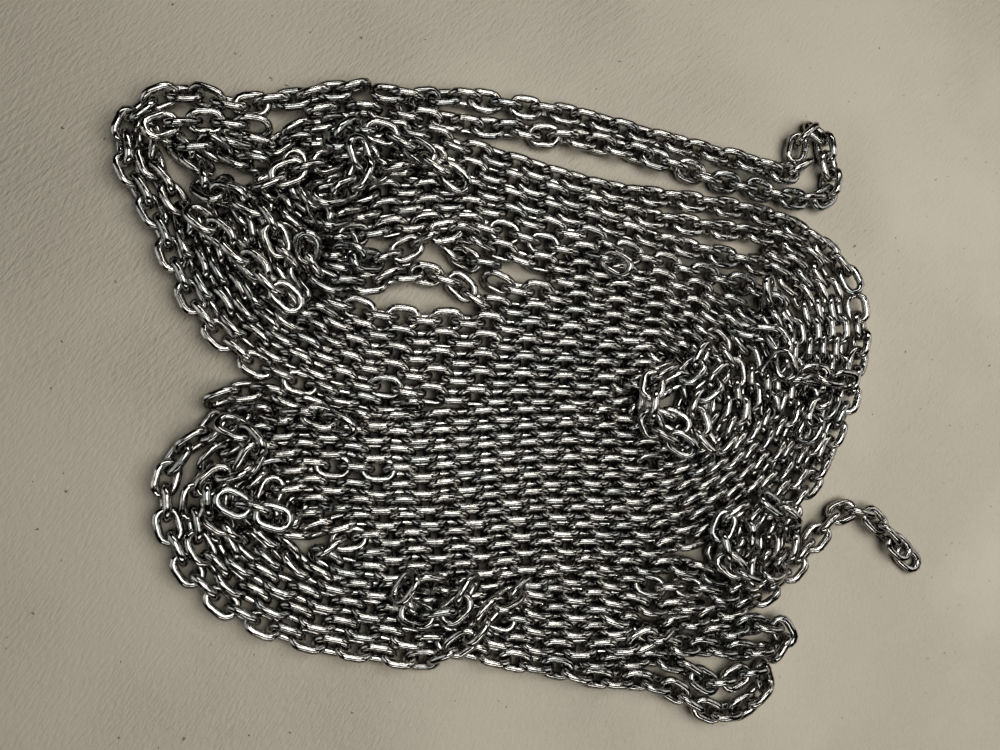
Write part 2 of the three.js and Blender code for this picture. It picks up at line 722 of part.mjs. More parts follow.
// One faceted section of a stretch, moved along the chain by a shift at its ends.
function sectionAt(row, i, shift) {
  const link = row[i];
  const way = wayAt(row, i);
  const side = new THREE.Vector3(way.y, -way.x, 0).normalize();
  const top = new THREE.Vector3().crossVectors(side, way);
  const leaning = LEANING_CORNERS[link.order % 2];
  return SECTION_ANGLES.map((angle, corner) => {
    const reach = link.room * (corner === leaning ? LEAN_SHARE : 1);
    const point = new THREE.Vector3(link.x, link.y, link.z / HEIGHT_STRETCH)
      .addScaledVector(side, reach * Math.cos(angle))
      .addScaledVector(top, reach * Math.sin(angle))
      .addScaledVector(way, shift);
    point.z = Math.max(0, point.z * HEIGHT_STRETCH);
    return point;
  });
}

// Adds the two triangles between four corners, seen from outside in turning order.
function addSide(list, a, b, c, d) {
  for (const corner of [a, b, c, a, c, d]) list.push(corner.x, corner.y, corner.z);
}

// The faces of a body made of sections in a line; a ring joins its last section to its first.
function bodyOfSections(sections, ring) {
  const list = [];
  const corners = sections[0].length;
  const bays = ring ? sections.length : sections.length - 1;
  for (let i = 0; i < bays; i += 1) {
    const here = sections[i];
    const next = sections[(i + 1) % sections.length];
    for (let k = 0; k < corners; k += 1) {
      const m = (k + 1) % corners;
      addSide(list, here[k], next[k], next[m], here[m]);
    }
  }
  if (!ring) {
    const first = sections[0];
    const last = sections[sections.length - 1];
    for (let k = 1; k + 1 < corners; k += 1) {
      for (const corner of [first[0], first[k], first[k + 1]]) list.push(corner.x, corner.y, corner.z);
      for (const corner of [last[0], last[k + 1], last[k]]) list.push(corner.x, corner.y, corner.z);
    }
  }
  const geometry = new THREE.BufferGeometry();
  geometry.setAttribute("position", new THREE.Float32BufferAttribute(list, 3));
  geometry.computeVertexNormals();
  return geometry;
}

// Where a length of chain is cut: after so many links, or where it has turned far enough.
function cutStretches(row) {
  const cuts = [0];
  const parts = Math.ceil((row.length - 1) / LINKS_PER_STRETCH);
  const even = Math.ceil((row.length - 1) / parts);
  let start = wayAt(row, 0);
  for (let i = 1; i < row.length - 1; i += 1) {
    const last = cuts[cuts.length - 1];
    const turned = Math.abs(start.angleTo(wayAt(row, i)));
    const tooFew = i - last < FEWEST_LINKS || row.length - 1 - i < FEWEST_LINKS;
    if (!tooFew && (i - last >= even || turned > LARGEST_TURN)) {
      cuts.push(i);
      start = wayAt(row, i);
    }
  }
  cuts.push(row.length - 1);
  return cuts;
}

// Colours of the stretches and of the last link
const STRETCH_COLOR = 0x9a9a98;
const END_LINK_COLOR = 0xa8a8a6;

const heap = new THREE.Group();
heap.name = "chain_heap";

function addNode(name, geometry, color) {
  const material = new THREE.MeshStandardMaterial({ color, roughness: 0.3, metalness: 1 });
  const mesh = new THREE.Mesh(geometry, material);
  mesh.name = name;
  heap.add(mesh);
}

for (const row of laid) {
  const cuts = cutStretches(row);
  for (let c = 0; c + 1 < cuts.length; c += 1) {
    const sections = [];
    for (let i = cuts[c]; i <= cuts[c + 1]; i += 1) {
      const atStart = i === cuts[c] ? SEAT_GAP / 2 : 0;
      const atEnd = i === cuts[c + 1] ? -SEAT_GAP / 2 : 0;
      sections.push(sectionAt(row, i, atStart + atEnd));
    }
    const number = String(c + 1).padStart(2, "0");
    addNode(`${CHAINS[row[0].chain].name}_${number}`, bodyOfSections(sections, false), STRETCH_COLOR);
  }
}

// The last link of the free end: a full ring that lies on the floor beyond the last stretch
const RING_BOW_STEPS = 6;
const RING_WIRE_STEPS = 8;
const RING_LENGTH_BETWEEN_BOWS = LINK_PITCH + WIRE_DIAMETER - LINK_MID_WIDTH;
const RING_SEAT = 0.35;

function endRing() {
  const row = laid[laid.length - 1];
  const last = row[row.length - 1];
  const way = wayAt(row, row.length - 1);
  way.z = 0;
  way.normalize();
  const side = new THREE.Vector3(-way.y, way.x, 0);
  const reach = RING_SEAT + RING_LENGTH_BETWEEN_BOWS / 2 + LINK_MID_WIDTH / 2 + WIRE_DIAMETER / 2;
  const middle = new THREE.Vector3(last.x, last.y, WIRE_DIAMETER / 2).addScaledVector(way, reach);
  const sections = [];
  for (const end of [1, -1]) {
    for (let k = 0; k <= RING_BOW_STEPS; k += 1) {
      const angle = (Math.PI * k) / RING_BOW_STEPS - Math.PI / 2;
      const out = new THREE.Vector3()
        .addScaledVector(way, Math.cos(angle) * end)
        .addScaledVector(side, Math.sin(angle) * end);
      const spot = middle
        .clone()
        .addScaledVector(way, (RING_LENGTH_BETWEEN_BOWS / 2) * end)
        .addScaledVector(out, LINK_MID_WIDTH / 2);
      const section = [];
      for (let w = 0; w < RING_WIRE_STEPS; w += 1) {
        const turn = (2 * Math.PI * (w + 0.5)) / RING_WIRE_STEPS;
        const corner = spot
          .clone()
          .addScaledVector(out, (WIRE_DIAMETER / 2) * Math.cos(turn))
          .add(new THREE.Vector3(0, 0, (WIRE_DIAMETER / 2) * Math.sin(turn)));
        section.push(corner);
      }
      sections.push(section);
    }
  }
  const low = Math.min(...sections.flat().map((corner) => corner.z));
  for (const corner of sections.flat()) corner.z -= low;
  return bodyOfSections(sections, true);
}

addNode("end_link", endRing(), END_LINK_COLOR);

// The frame: bottom middle of the whole heap's box, long side along X
const box = new THREE.Box3().setFromObject(heap);
const middle = box.getCenter(new THREE.Vector3());
for (const mesh of heap.children) mesh.geometry.translate(-middle.x, -middle.y, -box.min.z);

export default heap;
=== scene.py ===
"""A heap of short-link anchor chain, flaked to and fro on a painted floor.

Lengths of chain follow routes drawn over a view from above. The rows settle on the floor and on one
another, the single links then come to rest as rigid rings, and each stretch of links stands for the
solid of the same name in the frame. The chain is laid in millimetres and its meshes are in metres.
"""

import logging
import math
from dataclasses import dataclass
from enum import Enum
from typing import Union

import bmesh
import bpy
import numpy as np
from mathutils import Matrix, Vector


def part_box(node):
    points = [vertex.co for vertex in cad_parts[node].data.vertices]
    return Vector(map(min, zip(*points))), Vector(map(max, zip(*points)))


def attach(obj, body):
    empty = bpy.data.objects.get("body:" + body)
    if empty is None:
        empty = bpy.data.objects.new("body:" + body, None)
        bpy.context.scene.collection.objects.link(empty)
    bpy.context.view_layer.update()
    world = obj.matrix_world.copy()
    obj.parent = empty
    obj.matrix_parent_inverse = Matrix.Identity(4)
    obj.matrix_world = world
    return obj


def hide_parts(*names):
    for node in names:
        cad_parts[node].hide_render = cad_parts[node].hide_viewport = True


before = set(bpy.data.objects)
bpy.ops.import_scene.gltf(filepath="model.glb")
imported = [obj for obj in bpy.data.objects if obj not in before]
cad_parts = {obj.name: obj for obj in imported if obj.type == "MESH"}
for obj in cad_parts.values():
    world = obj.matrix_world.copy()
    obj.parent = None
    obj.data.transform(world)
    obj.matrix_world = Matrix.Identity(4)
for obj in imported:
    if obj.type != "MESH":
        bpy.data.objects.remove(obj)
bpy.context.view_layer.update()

MM = 0.001
BODY = "root"
UP = np.array((0.0, 0.0, 1.0))

# The links are drawn a little stouter than the 8 mm wire of the solids
DRAWN_WIRE = 8.8

# Below these a length or an angle counts as nought
TINY = 1e-9
LEAST_GAP = 1e-6

log = logging.getLogger("chain_heap")


@dataclass(frozen=True)
class Run:
    """A part of a length of chain that lies in one layer of the heap, with its route in the view."""

    layer: int
    route: tuple[tuple[int, int], ...]


@dataclass(frozen=True)
class Length:
    """A length of chain: its name and its runs, from end to end."""

    name: str
    runs: tuple[Run, ...]


# Lengths of chain. A run with the higher layer lies on the lower; the last length ends in the free end.
LENGTHS = (
    Length("outer_turn", (
        Run(9, ((300, 130), (322, 122), (345, 118), (368, 115), (390, 114), (408, 121), (432, 123),
            (458, 127), (485, 128), (512, 131), (540, 135), (568, 138), (594, 143))),
        Run(10, ((620, 148), (645, 156), (668, 164), (690, 172), (712, 180), (735, 184), (757, 190),
            (778, 197), (800, 201), (822, 197), (836, 190), (829, 176), (824, 160), (822, 142), (813, 125),
            (803, 136), (801, 154), (802, 170), (788, 176), (765, 168), (740, 161), (715, 156), (690, 149),
            (665, 143), (640, 137), (615, 129), (590, 121), (562, 115), (535, 110), (508, 107), (482, 101),
            (455, 99), (430, 101), (408, 104), (385, 104), (360, 98), (335, 101), (310, 105), (285, 105),
            (262, 104), (238, 107), (215, 103), (195, 95), (178, 89), (160, 95), (147, 108), (133, 120),
            (122, 133))),
        Run(1, ((128, 147), (141, 166), (146, 190), (156, 212), (167, 234), (178, 256), (186, 285),
            (194, 314), (214, 336), (240, 354), (270, 373), (300, 390), (330, 399), (360, 404), (388, 408),
            (414, 411))),
    )),
    Length("row_a", (
        Run(9, ((262, 136), (240, 130), (214, 126), (190, 128), (168, 133), (150, 142))),
        Run(2, ((138, 156), (150, 170), (164, 187), (179, 201), (189, 221), (197, 240), (205, 262),
            (222, 290), (240, 318), (262, 340), (285, 358), (310, 372), (340, 384), (370, 392), (400, 396),
            (440, 397), (480, 399), (520, 400), (560, 398), (595, 398), (620, 400), (640, 399), (650, 405),
            (640, 411))),
        Run(3, ((618, 411), (590, 413), (560, 413), (520, 415), (480, 420), (440, 425), (400, 426),
            (360, 421), (325, 411), (300, 403), (275, 397), (250, 395), (230, 399), (215, 412), (213, 428),
            (198, 440), (182, 448), (169, 462), (163, 480), (161, 502), (164, 524), (170, 542), (176, 560),
            (186, 580), (200, 596), (216, 608), (236, 620), (258, 629), (283, 638), (308, 643), (335, 646),
            (362, 646), (388, 648), (412, 646), (436, 643))),
        Run(8, ((452, 641), (468, 626), (484, 611), (500, 597), (515, 583))),
        Run(4, ((532, 577), (552, 583), (575, 592), (600, 599), (625, 604), (650, 607), (680, 608),
            (705, 604))),
    )),
    Length("row_b", (
        Run(2, ((206, 222), (216, 242), (226, 262), (240, 285), (258, 308), (280, 328), (305, 345),
            (335, 362), (365, 373), (400, 378), (440, 378), (480, 380), (520, 384), (560, 383), (590, 382),
            (620, 384), (640, 377), (655, 368), (676, 372), (684, 390), (684, 412), (674, 430), (655, 433),
            (630, 430), (600, 428), (560, 427), (520, 430), (480, 437), (440, 441), (400, 440), (360, 437),
            (325, 431), (295, 427), (268, 426), (243, 431), (224, 446), (208, 463), (199, 484), (195, 504),
            (201, 524), (211, 542), (222, 557), (235, 572), (250, 584), (268, 594), (286, 604), (306, 613),
            (330, 618), (354, 622), (380, 628), (405, 632), (430, 629), (458, 634), (478, 645), (500, 650),
            (525, 653), (550, 656), (572, 662), (594, 668), (616, 669), (638, 673), (658, 679), (676, 690),
            (692, 700), (708, 710), (726, 713), (742, 706), (752, 692), (765, 692), (769, 676), (760, 665),
            (744, 670), (728, 680), (710, 680), (694, 671), (680, 658), (662, 653), (640, 654), (616, 654),
            (594, 652))),
    )),
    Length("row_c", (
        Run(3, ((236, 208), (239, 226), (242, 246), (250, 268), (264, 290), (282, 310), (305, 328),
            (330, 343), (360, 355), (400, 360), (440, 360), (480, 362), (520, 366), (560, 367), (590, 366),
            (620, 366), (645, 366), (664, 366), (674, 358), (664, 351), (645, 352), (620, 351), (590, 349),
            (560, 349), (520, 347), (480, 343), (440, 342), (410, 343), (380, 341), (350, 334), (325, 320),
            (300, 302), (282, 282), (268, 262), (260, 242), (254, 224))),
    )),
    Length("row_f", (
        Run(7, ((310, 250), (300, 268), (310, 282), (330, 288), (350, 284), (368, 276))),
        Run(4, ((388, 268), (410, 270), (432, 276), (456, 287), (480, 301), (504, 311), (530, 315),
            (560, 315), (590, 316), (620, 319), (650, 325), (678, 333), (702, 346), (716, 364), (722, 388),
            (722, 412), (715, 436), (700, 453), (678, 464), (650, 469), (620, 466), (590, 462), (560, 460),
            (520, 463), (480, 469), (440, 473), (400, 474), (360, 470), (325, 463), (300, 460), (275, 460),
            (253, 468), (238, 482), (230, 500), (238, 518), (252, 535), (270, 547), (288, 560), (305, 572),
            (325, 579), (348, 580), (368, 578), (392, 583), (415, 592))),
    )),
    Length("row_g", (
        Run(4, ((446, 226), (452, 238), (468, 252), (482, 270), (497, 281), (515, 290), (540, 296),
            (565, 299), (590, 300), (618, 303), (648, 309), (678, 317), (705, 328), (724, 345), (735, 368),
            (739, 392), (738, 416), (730, 440), (715, 460), (693, 475), (665, 483), (635, 484), (610, 481),
            (590, 478), (560, 476), (520, 480), (480, 485), (440, 489), (400, 488), (360, 485), (325, 478),
            (300, 474), (280, 478), (266, 490), (262, 505), (275, 514))),
    )),
    Length("row_h", (
        Run(4, ((556, 273), (583, 286), (605, 293), (630, 298), (655, 300), (685, 305), (712, 316),
            (735, 330), (748, 350), (755, 375), (757, 400), (755, 425), (745, 447), (731, 467), (711, 483),
            (687, 493), (660, 498), (635, 499), (610, 497), (590, 495), (560, 493), (520, 496), (480, 501),
            (440, 505), (400, 503), (360, 500), (325, 495), (302, 492), (285, 505), (283, 525), (297, 535),
            (310, 522))),
    )),
    Length("row_i", (
        Run(7, ((222, 198), (230, 187), (243, 184), (255, 192), (264, 205), (273, 220), (285, 233),
            (299, 240), (317, 246))),
        Run(6, ((335, 246), (352, 252), (370, 262), (388, 264), (410, 257), (430, 244), (447, 229),
            (462, 219))),
        Run(5, ((480, 226), (500, 229), (522, 241), (545, 252), (568, 262), (592, 272), (617, 282),
            (642, 288), (668, 291), (692, 294), (715, 302), (740, 310), (758, 322), (770, 345), (774, 372),
            (776, 398), (773, 423), (764, 447), (751, 467), (735, 485), (713, 500), (688, 509), (660, 514),
            (635, 515), (610, 513), (590, 511), (560, 509), (520, 512), (480, 517), (440, 521), (400, 519),
            (365, 515), (340, 510), (318, 520))),
    )),
    Length("row_j", (
        Run(7, ((300, 160), (288, 172), (294, 188), (308, 200), (318, 216), (332, 229), (350, 222))),
        Run(5, ((372, 212), (400, 203), (428, 199), (455, 202), (480, 210), (505, 220), (530, 232),
            (555, 239), (580, 243), (605, 248), (630, 256), (655, 264), (680, 271), (705, 277), (730, 281),
            (755, 287), (776, 296), (788, 315), (793, 340), (794, 365), (793, 390), (789, 414), (780, 437),
            (768, 458), (752, 478), (734, 496), (711, 509), (686, 519), (660, 526), (635, 530), (610, 529),
            (590, 527), (560, 525), (520, 528), (480, 533), (440, 536), (400, 534), (365, 531), (338, 532),
            (322, 545), (327, 562), (348, 567), (374, 564), (400, 562), (440, 563), (480, 563), (520, 559),
            (560, 557), (590, 560), (615, 562), (640, 561), (665, 559), (685, 565), (700, 573), (716, 578),
            (732, 572), (722, 560), (718, 540), (732, 522), (752, 508), (772, 495), (788, 478), (800, 456),
            (811, 434), (821, 412), (829, 390), (833, 366), (837, 344), (836, 320), (831, 297), (821, 277),
            (808, 260), (790, 246), (772, 237), (750, 233), (725, 232), (700, 229), (675, 224), (650, 219),
            (625, 214), (600, 210), (575, 205), (550, 198), (525, 190), (500, 182), (475, 175), (450, 171),
            (425, 166), (408, 164), (388, 160))),
        Run(7, ((366, 150), (345, 144), (322, 148), (300, 148))),
    )),
    Length("row_k", (
        Run(7, ((340, 170), (320, 175), (305, 182), (322, 190), (345, 194))),
        Run(5, ((370, 190), (400, 183), (428, 182), (452, 187), (475, 190), (500, 197), (525, 206),
            (550, 215), (575, 222), (600, 230), (625, 236), (650, 243), (675, 250), (700, 254), (725, 259),
            (750, 259), (775, 263), (793, 272), (806, 290), (812, 315), (813, 342), (811, 368), (810, 392),
            (804, 415), (795, 440), (783, 462), (768, 483), (748, 502), (724, 518), (698, 531), (672, 540),
            (645, 547), (620, 547), (590, 543), (560, 541), (520, 544), (480, 549), (440, 551), (400, 549),
            (370, 545))),
    )),
    Length("row_m", (
        Run(5, ((378, 138), (400, 138), (425, 141), (448, 148), (472, 155), (497, 162), (521, 172),
            (546, 180), (571, 187), (596, 193), (621, 196), (646, 198), (671, 199), (696, 203), (721, 208),
            (746, 211), (768, 217), (790, 227), (810, 239), (829, 253), (844, 270), (853, 290), (859, 312),
            (860, 337), (856, 362), (848, 385), (838, 408), (827, 432), (820, 455), (811, 478), (798, 497),
            (782, 506), (768, 518), (775, 534), (765, 550), (770, 567), (757, 578), (742, 592), (720, 599),
            (695, 598), (670, 594), (645, 588), (620, 582), (600, 578), (580, 575), (555, 573), (525, 573),
            (500, 575), (470, 577), (440, 576), (412, 577), (398, 587), (405, 600), (425, 603), (448, 601),
            (470, 598))),
    )),
    Length("inner_loop", (
        Run(5, ((225, 497), (245, 505), (268, 512))),
    )),
    Length("lower_bight", (
        Run(5, ((480, 607), (505, 617), (530, 622), (560, 624), (590, 626), (620, 629), (650, 633),
            (680, 633), (704, 641), (727, 650), (750, 656), (770, 651), (781, 639), (769, 627), (748, 621),
            (725, 618), (700, 618))),
    )),
    Length("lower_row", (
        Run(5, ((500, 603), (525, 604), (550, 607), (575, 611), (600, 616), (625, 621))),
    )),
    Length("crossing_turn", (
        Run(9, ((240, 150), (262, 152), (280, 158), (296, 146), (308, 130), (330, 121), (352, 127),
            (372, 136), (394, 146), (412, 158), (430, 172), (448, 186))),
    )),
    Length("tangle_a", (
        Run(8, ((262, 165), (240, 160), (228, 147), (212, 136), (198, 140))),
    )),
    Length("tangle_b", (
        Run(9, ((350, 150), (332, 160), (345, 168), (360, 178), (348, 192), (328, 200), (310, 206))),
    )),
    Length("tangle_c", (
        Run(6, ((265, 180), (276, 192), (272, 206), (284, 220), (300, 233), (320, 240), (345, 236),
            (366, 226), (388, 218), (410, 212), (432, 210))),
    )),
    Length("tangle_d", (
        Run(6, ((205, 220), (222, 236), (238, 252), (256, 268), (275, 288), (294, 306))),
    )),
    Length("centre_turn", (
        Run(6, ((692, 350), (688, 367), (668, 378), (648, 386), (640, 402), (650, 420), (668, 428))),
    )),
    Length("right_turn", (
        Run(10, ((738, 326), (756, 329), (768, 342), (768, 358), (776, 373), (794, 376), (812, 380),
            (830, 384))),
    )),
    Length("corner_turn", (
        Run(8, ((742, 512), (726, 530), (734, 548), (752, 556), (752, 574))),
    )),
    Length("fan_row", (
        Run(6, ((432, 212), (458, 214), (483, 219), (507, 228), (531, 240), (555, 247), (578, 254),
            (598, 264), (614, 280))),
    )),
    Length("tangle_e", (
        Run(8, ((262, 193), (273, 182), (289, 174), (305, 178), (322, 174), (340, 168), (356, 165),
            (374, 162))),
    )),
    Length("tangle_f", (
        Run(8, ((318, 204), (334, 197), (348, 187), (363, 178), (378, 170), (394, 168))),
    )),
    Length("tangle_g", (
        Run(5, ((236, 203), (246, 218), (252, 234), (260, 249), (268, 265), (275, 281), (284, 296))),
    )),
    Length("tangle_h", (
        Run(3, ((330, 262), (346, 272), (362, 262), (352, 244), (334, 234), (314, 222), (296, 210),
            (280, 198), (284, 182), (302, 168), (324, 158), (346, 158), (366, 168), (386, 176), (408, 178),
            (430, 180))),
    )),
    Length("side_row", (
        Run(8, ((770, 250), (788, 261), (804, 275), (817, 292), (823, 315), (824, 340), (821, 365),
            (814, 388), (805, 410), (796, 432))),
    )),
    Length("side_turn", (
        Run(8, ((768, 296), (775, 312), (785, 328), (787, 346), (779, 362), (766, 376), (762, 394),
            (768, 412))),
    )),
    Length("centre_b", (
        Run(7, ((662, 360), (648, 372), (636, 386), (633, 402), (638, 418), (650, 430), (668, 440))),
    )),
    Length("centre_c", (
        Run(7, ((706, 384), (696, 398), (686, 412), (688, 430), (700, 444))),
    )),
    Length("corner_b", (
        Run(8, ((756, 500), (770, 511), (782, 525), (781, 542), (770, 556), (755, 566))),
    )),
    Length("corner_c", (
        Run(8, ((724, 520), (714, 534), (711, 550), (718, 565), (732, 577), (748, 580))),
    )),
    Length("lower_cross", (
        Run(7, ((464, 577), (454, 590), (444, 603), (430, 613), (412, 612))),
    )),
    Length("loop_top", (
        Run(6, ((222, 428), (234, 416), (252, 411), (272, 413), (292, 417), (314, 421), (338, 424))),
    )),
    Length("left_turn", (
        Run(6, ((236, 432), (250, 442), (256, 458), (246, 472), (230, 480), (214, 486), (204, 498),
            (210, 513), (226, 524), (246, 534), (264, 547), (282, 560))),
    )),
    Length("row_e", (
        Run(8, ((150, 142), (172, 149), (190, 158), (204, 166), (214, 178), (212, 194), (224, 202),
            (240, 196), (254, 202), (264, 215), (276, 232), (288, 250), (294, 270), (300, 288))),
        Run(4, ((312, 300), (328, 309), (344, 318), (362, 322), (380, 321), (415, 323), (440, 323),
            (480, 323), (515, 328), (540, 331), (565, 332), (590, 333), (620, 335), (650, 340), (675, 346),
            (694, 358), (703, 376), (705, 400), (701, 422), (688, 440), (665, 451), (640, 455), (615, 450),
            (590, 445), (560, 443), (520, 447), (480, 453), (440, 457), (400, 458), (360, 455), (325, 447),
            (297, 442), (270, 442), (247, 450), (230, 465), (217, 482), (210, 500), (215, 520), (227, 537),
            (243, 550), (260, 563), (275, 577), (292, 587), (312, 597), (335, 603), (358, 608), (382, 613),
            (410, 615), (440, 612), (470, 618), (495, 630), (520, 637), (545, 641))),
        Run(9, ((566, 646), (582, 645), (605, 640), (630, 634), (655, 629), (680, 621), (705, 614),
            (730, 607), (752, 598), (771, 587), (788, 572), (801, 555), (812, 538), (825, 524), (837, 508),
            (854, 504), (870, 515), (883, 533), (899, 548))),
    )),
)


@dataclass(frozen=True)
class LinkSizes:
    """The sizes of one link of 8 mm short-link chain, in millimetres."""

    wire: float = 8.0
    pitch: float = 24.0
    inner_width: float = 11.2

    @property
    def bow_radius(self) -> float:
        """Radius of the wire's middle line round a bow."""
        return (self.inner_width + self.wire) / 2

    @property
    def half_bar(self) -> float:
        """Half the straight length of a side."""
        return (self.pitch + self.wire) / 2 - self.bow_radius

    @property
    def resting_height(self) -> float:
        """Height of a link's middle where it leans at 45 degrees on the floor."""
        return self.bow_radius * math.sin(math.pi / 4) + self.wire / 2


@dataclass(frozen=True)
class FloorView:
    """The view from above in which the routes are drawn, and where the camera stands."""

    middle_u: float = 500.0
    middle_v: float = 375.0
    focal: float = 751.0
    width: float = 1000.0
    distance: float = 830.0
    slant_u: float = -2.847e-4
    slant_v: float = 8.82e-5
    trace_height: float = 11.0

    def axes(self) -> tuple[np.ndarray, np.ndarray, np.ndarray]:
        """The floor's right, up-the-view and normal directions in the camera's right, down and forward.

        Returns:
            Three unit vectors.
        """
        normal = -np.array((self.slant_u * self.focal, self.slant_v * self.focal, 1.0))
        normal /= np.linalg.norm(normal)
        right = np.array((1.0, 0.0, 0.0)) - normal[0] * normal
        right /= np.linalg.norm(right)
        return right, np.cross(normal, right), normal

    def floor_points(self, route: np.ndarray) -> np.ndarray:
        """Lays points of the view on the plane of the link middles.

        Args:
            route: Points of the view, one row each.

        Returns:
            The points on the plane, in millimetres.
        """
        right, up, normal = self.axes()
        rays = np.column_stack((
            (route[:, 0] - self.middle_u) / self.focal,
            (route[:, 1] - self.middle_v) / self.focal,
            np.ones(len(route)),
        ))
        origin = np.array((0.0, 0.0, self.distance))
        reach = (origin @ normal + self.trace_height) / (rays @ normal)
        hits = rays * reach[:, None] - origin
        return np.column_stack((hits @ right, hits @ up))

    def camera_matrix(self, shift: np.ndarray) -> Matrix:
        """Where the camera stands and looks.

        Args:
            shift: From the place where the chain is laid to the frame, in millimetres.

        Returns:
            The camera's matrix in the frame, in metres.
        """
        right, up, normal = self.axes()
        columns = np.array((right, up, normal))
        place = (-self.distance * columns[:, 2] + shift) * MM
        turn = Matrix.Identity(4)
        for row in range(3):
            turn[row][0] = columns[row, 0]
            turn[row][1] = -columns[row, 1]
            turn[row][2] = -columns[row, 2]
            turn[row][3] = place[row]
        return turn


def smooth_route(points: np.ndarray, samples_per_bay: int = 4) -> tuple[np.ndarray, np.ndarray]:
    """Draws a smooth line through the points of a route, so that the links turn evenly.

    Args:
        points: The route's points.
        samples_per_bay: How many points of the line lie between two of the route.

    Returns:
        The points of the line, and the number of the bay that each lies in.
    """
    before = np.vstack((2 * points[:1] - points[1:2], points[:-2]))
    after = np.vstack((points[2:], 2 * points[-1:] - points[-2:-1]))
    start, end = points[:-1], points[1:]
    gap = [np.linalg.norm(b - a, axis=1)[:, None] ** 0.5
           for a, b in ((before, start), (start, end), (end, after))]
    leave = (start - before) / gap[0] - (end - before) / (gap[0] + gap[1]) + (end - start) / gap[1]
    arrive = (end - start) / gap[1] - (after - start) / (gap[1] + gap[2]) + (after - end) / gap[2]
    leave, arrive = leave * gap[1], arrive * gap[1]
    share = (np.arange(samples_per_bay) / samples_per_bay)[None, :, None]
    line = (
        start[:, None]
        + leave[:, None] * share
        + (3 * (end - start) - 2 * leave - arrive)[:, None] * share ** 2
        + (2 * (start - end) + leave + arrive)[:, None] * share ** 3
    )
    bays = np.repeat(np.arange(len(start)), samples_per_bay)
    return np.vstack((line.reshape(-1, 2), points[-1:])), np.append(bays, len(start) - 1)


def even_steps(line: np.ndarray, step: float) -> tuple[np.ndarray, np.ndarray]:
    """Finds points at an even step along a line, with the first and the last kept.

    Args:
        line: Points of the line.
        step: The wanted step.

    Returns:
        The points, and the number of the line's bay that each lies in.
    """
    along = np.append(0.0, np.cumsum(np.linalg.norm(np.diff(line, axis=0), axis=1)))
    count = max(2, round(along[-1] / step))
    at = along[-1] * np.arange(count + 1) / count
    bay = np.clip(np.searchsorted(along, at, side="left"), 1, len(line) - 1) - 1
    share = ((at - along[bay]) / (along[bay + 1] - along[bay]))[:, None]
    return line[bay] * (1 - share) + line[bay + 1] * share, bay


def unit(vectors: np.ndarray) -> np.ndarray:
    """Vectors with a length of one, row by row."""
    return vectors / np.maximum(np.linalg.norm(vectors, axis=-1, keepdims=True), TINY)


def dots(one: np.ndarray, other: np.ndarray) -> np.ndarray:
    """Scalar products of two lists of vectors, row by row."""
    return np.einsum("ij,ij->i", one, other)


def gathered(index: np.ndarray, values: np.ndarray, size: int) -> np.ndarray:
    """Adds up rows of values by the link that each belongs to.

    Args:
        index: The link of each row.
        values: The rows, of three numbers each.
        size: The number of links.

    Returns:
        One sum for each link.
    """
    return np.column_stack([np.bincount(index, values[:, k], size) for k in range(3)])


def nearest_points(start_a: np.ndarray, span_a: np.ndarray, start_b: np.ndarray,
                   span_b: np.ndarray) -> tuple[np.ndarray, np.ndarray, np.ndarray]:
    """Finds where straight pieces come nearest to each other, pair by pair.

    Args:
        start_a: The first pieces' starts.
        span_a: From the first pieces' starts to their ends.
        start_b: The second pieces' starts.
        span_b: From the second pieces' starts to their ends.

    Returns:
        The shares along both pieces, and how alike the two run, from 0 to 1.
    """
    between = start_a - start_b
    aa = dots(span_a, span_a)
    bb = dots(span_b, span_b)
    ab = dots(span_a, span_b)
    aw = dots(span_a, between)
    bw = dots(span_b, between)
    spread = aa * bb - ab * ab
    crossing = spread > LEAST_GAP * aa * bb
    share_a = np.where(crossing, (ab * bw - aw * bb) / np.where(crossing, spread, 1.0), 0.5)
    share_a = np.clip(share_a, 0.0, 1.0)
    share_b = (ab * share_a + bw) / bb
    beyond = (share_b < 0) | (share_b > 1)
    share_b = np.clip(share_b, 0.0, 1.0)
    share_a = np.where(beyond, np.clip((ab * share_b - aw) / aa, 0.0, 1.0), share_a)
    return share_a, share_b, np.abs(ab) / np.sqrt(aa * bb)


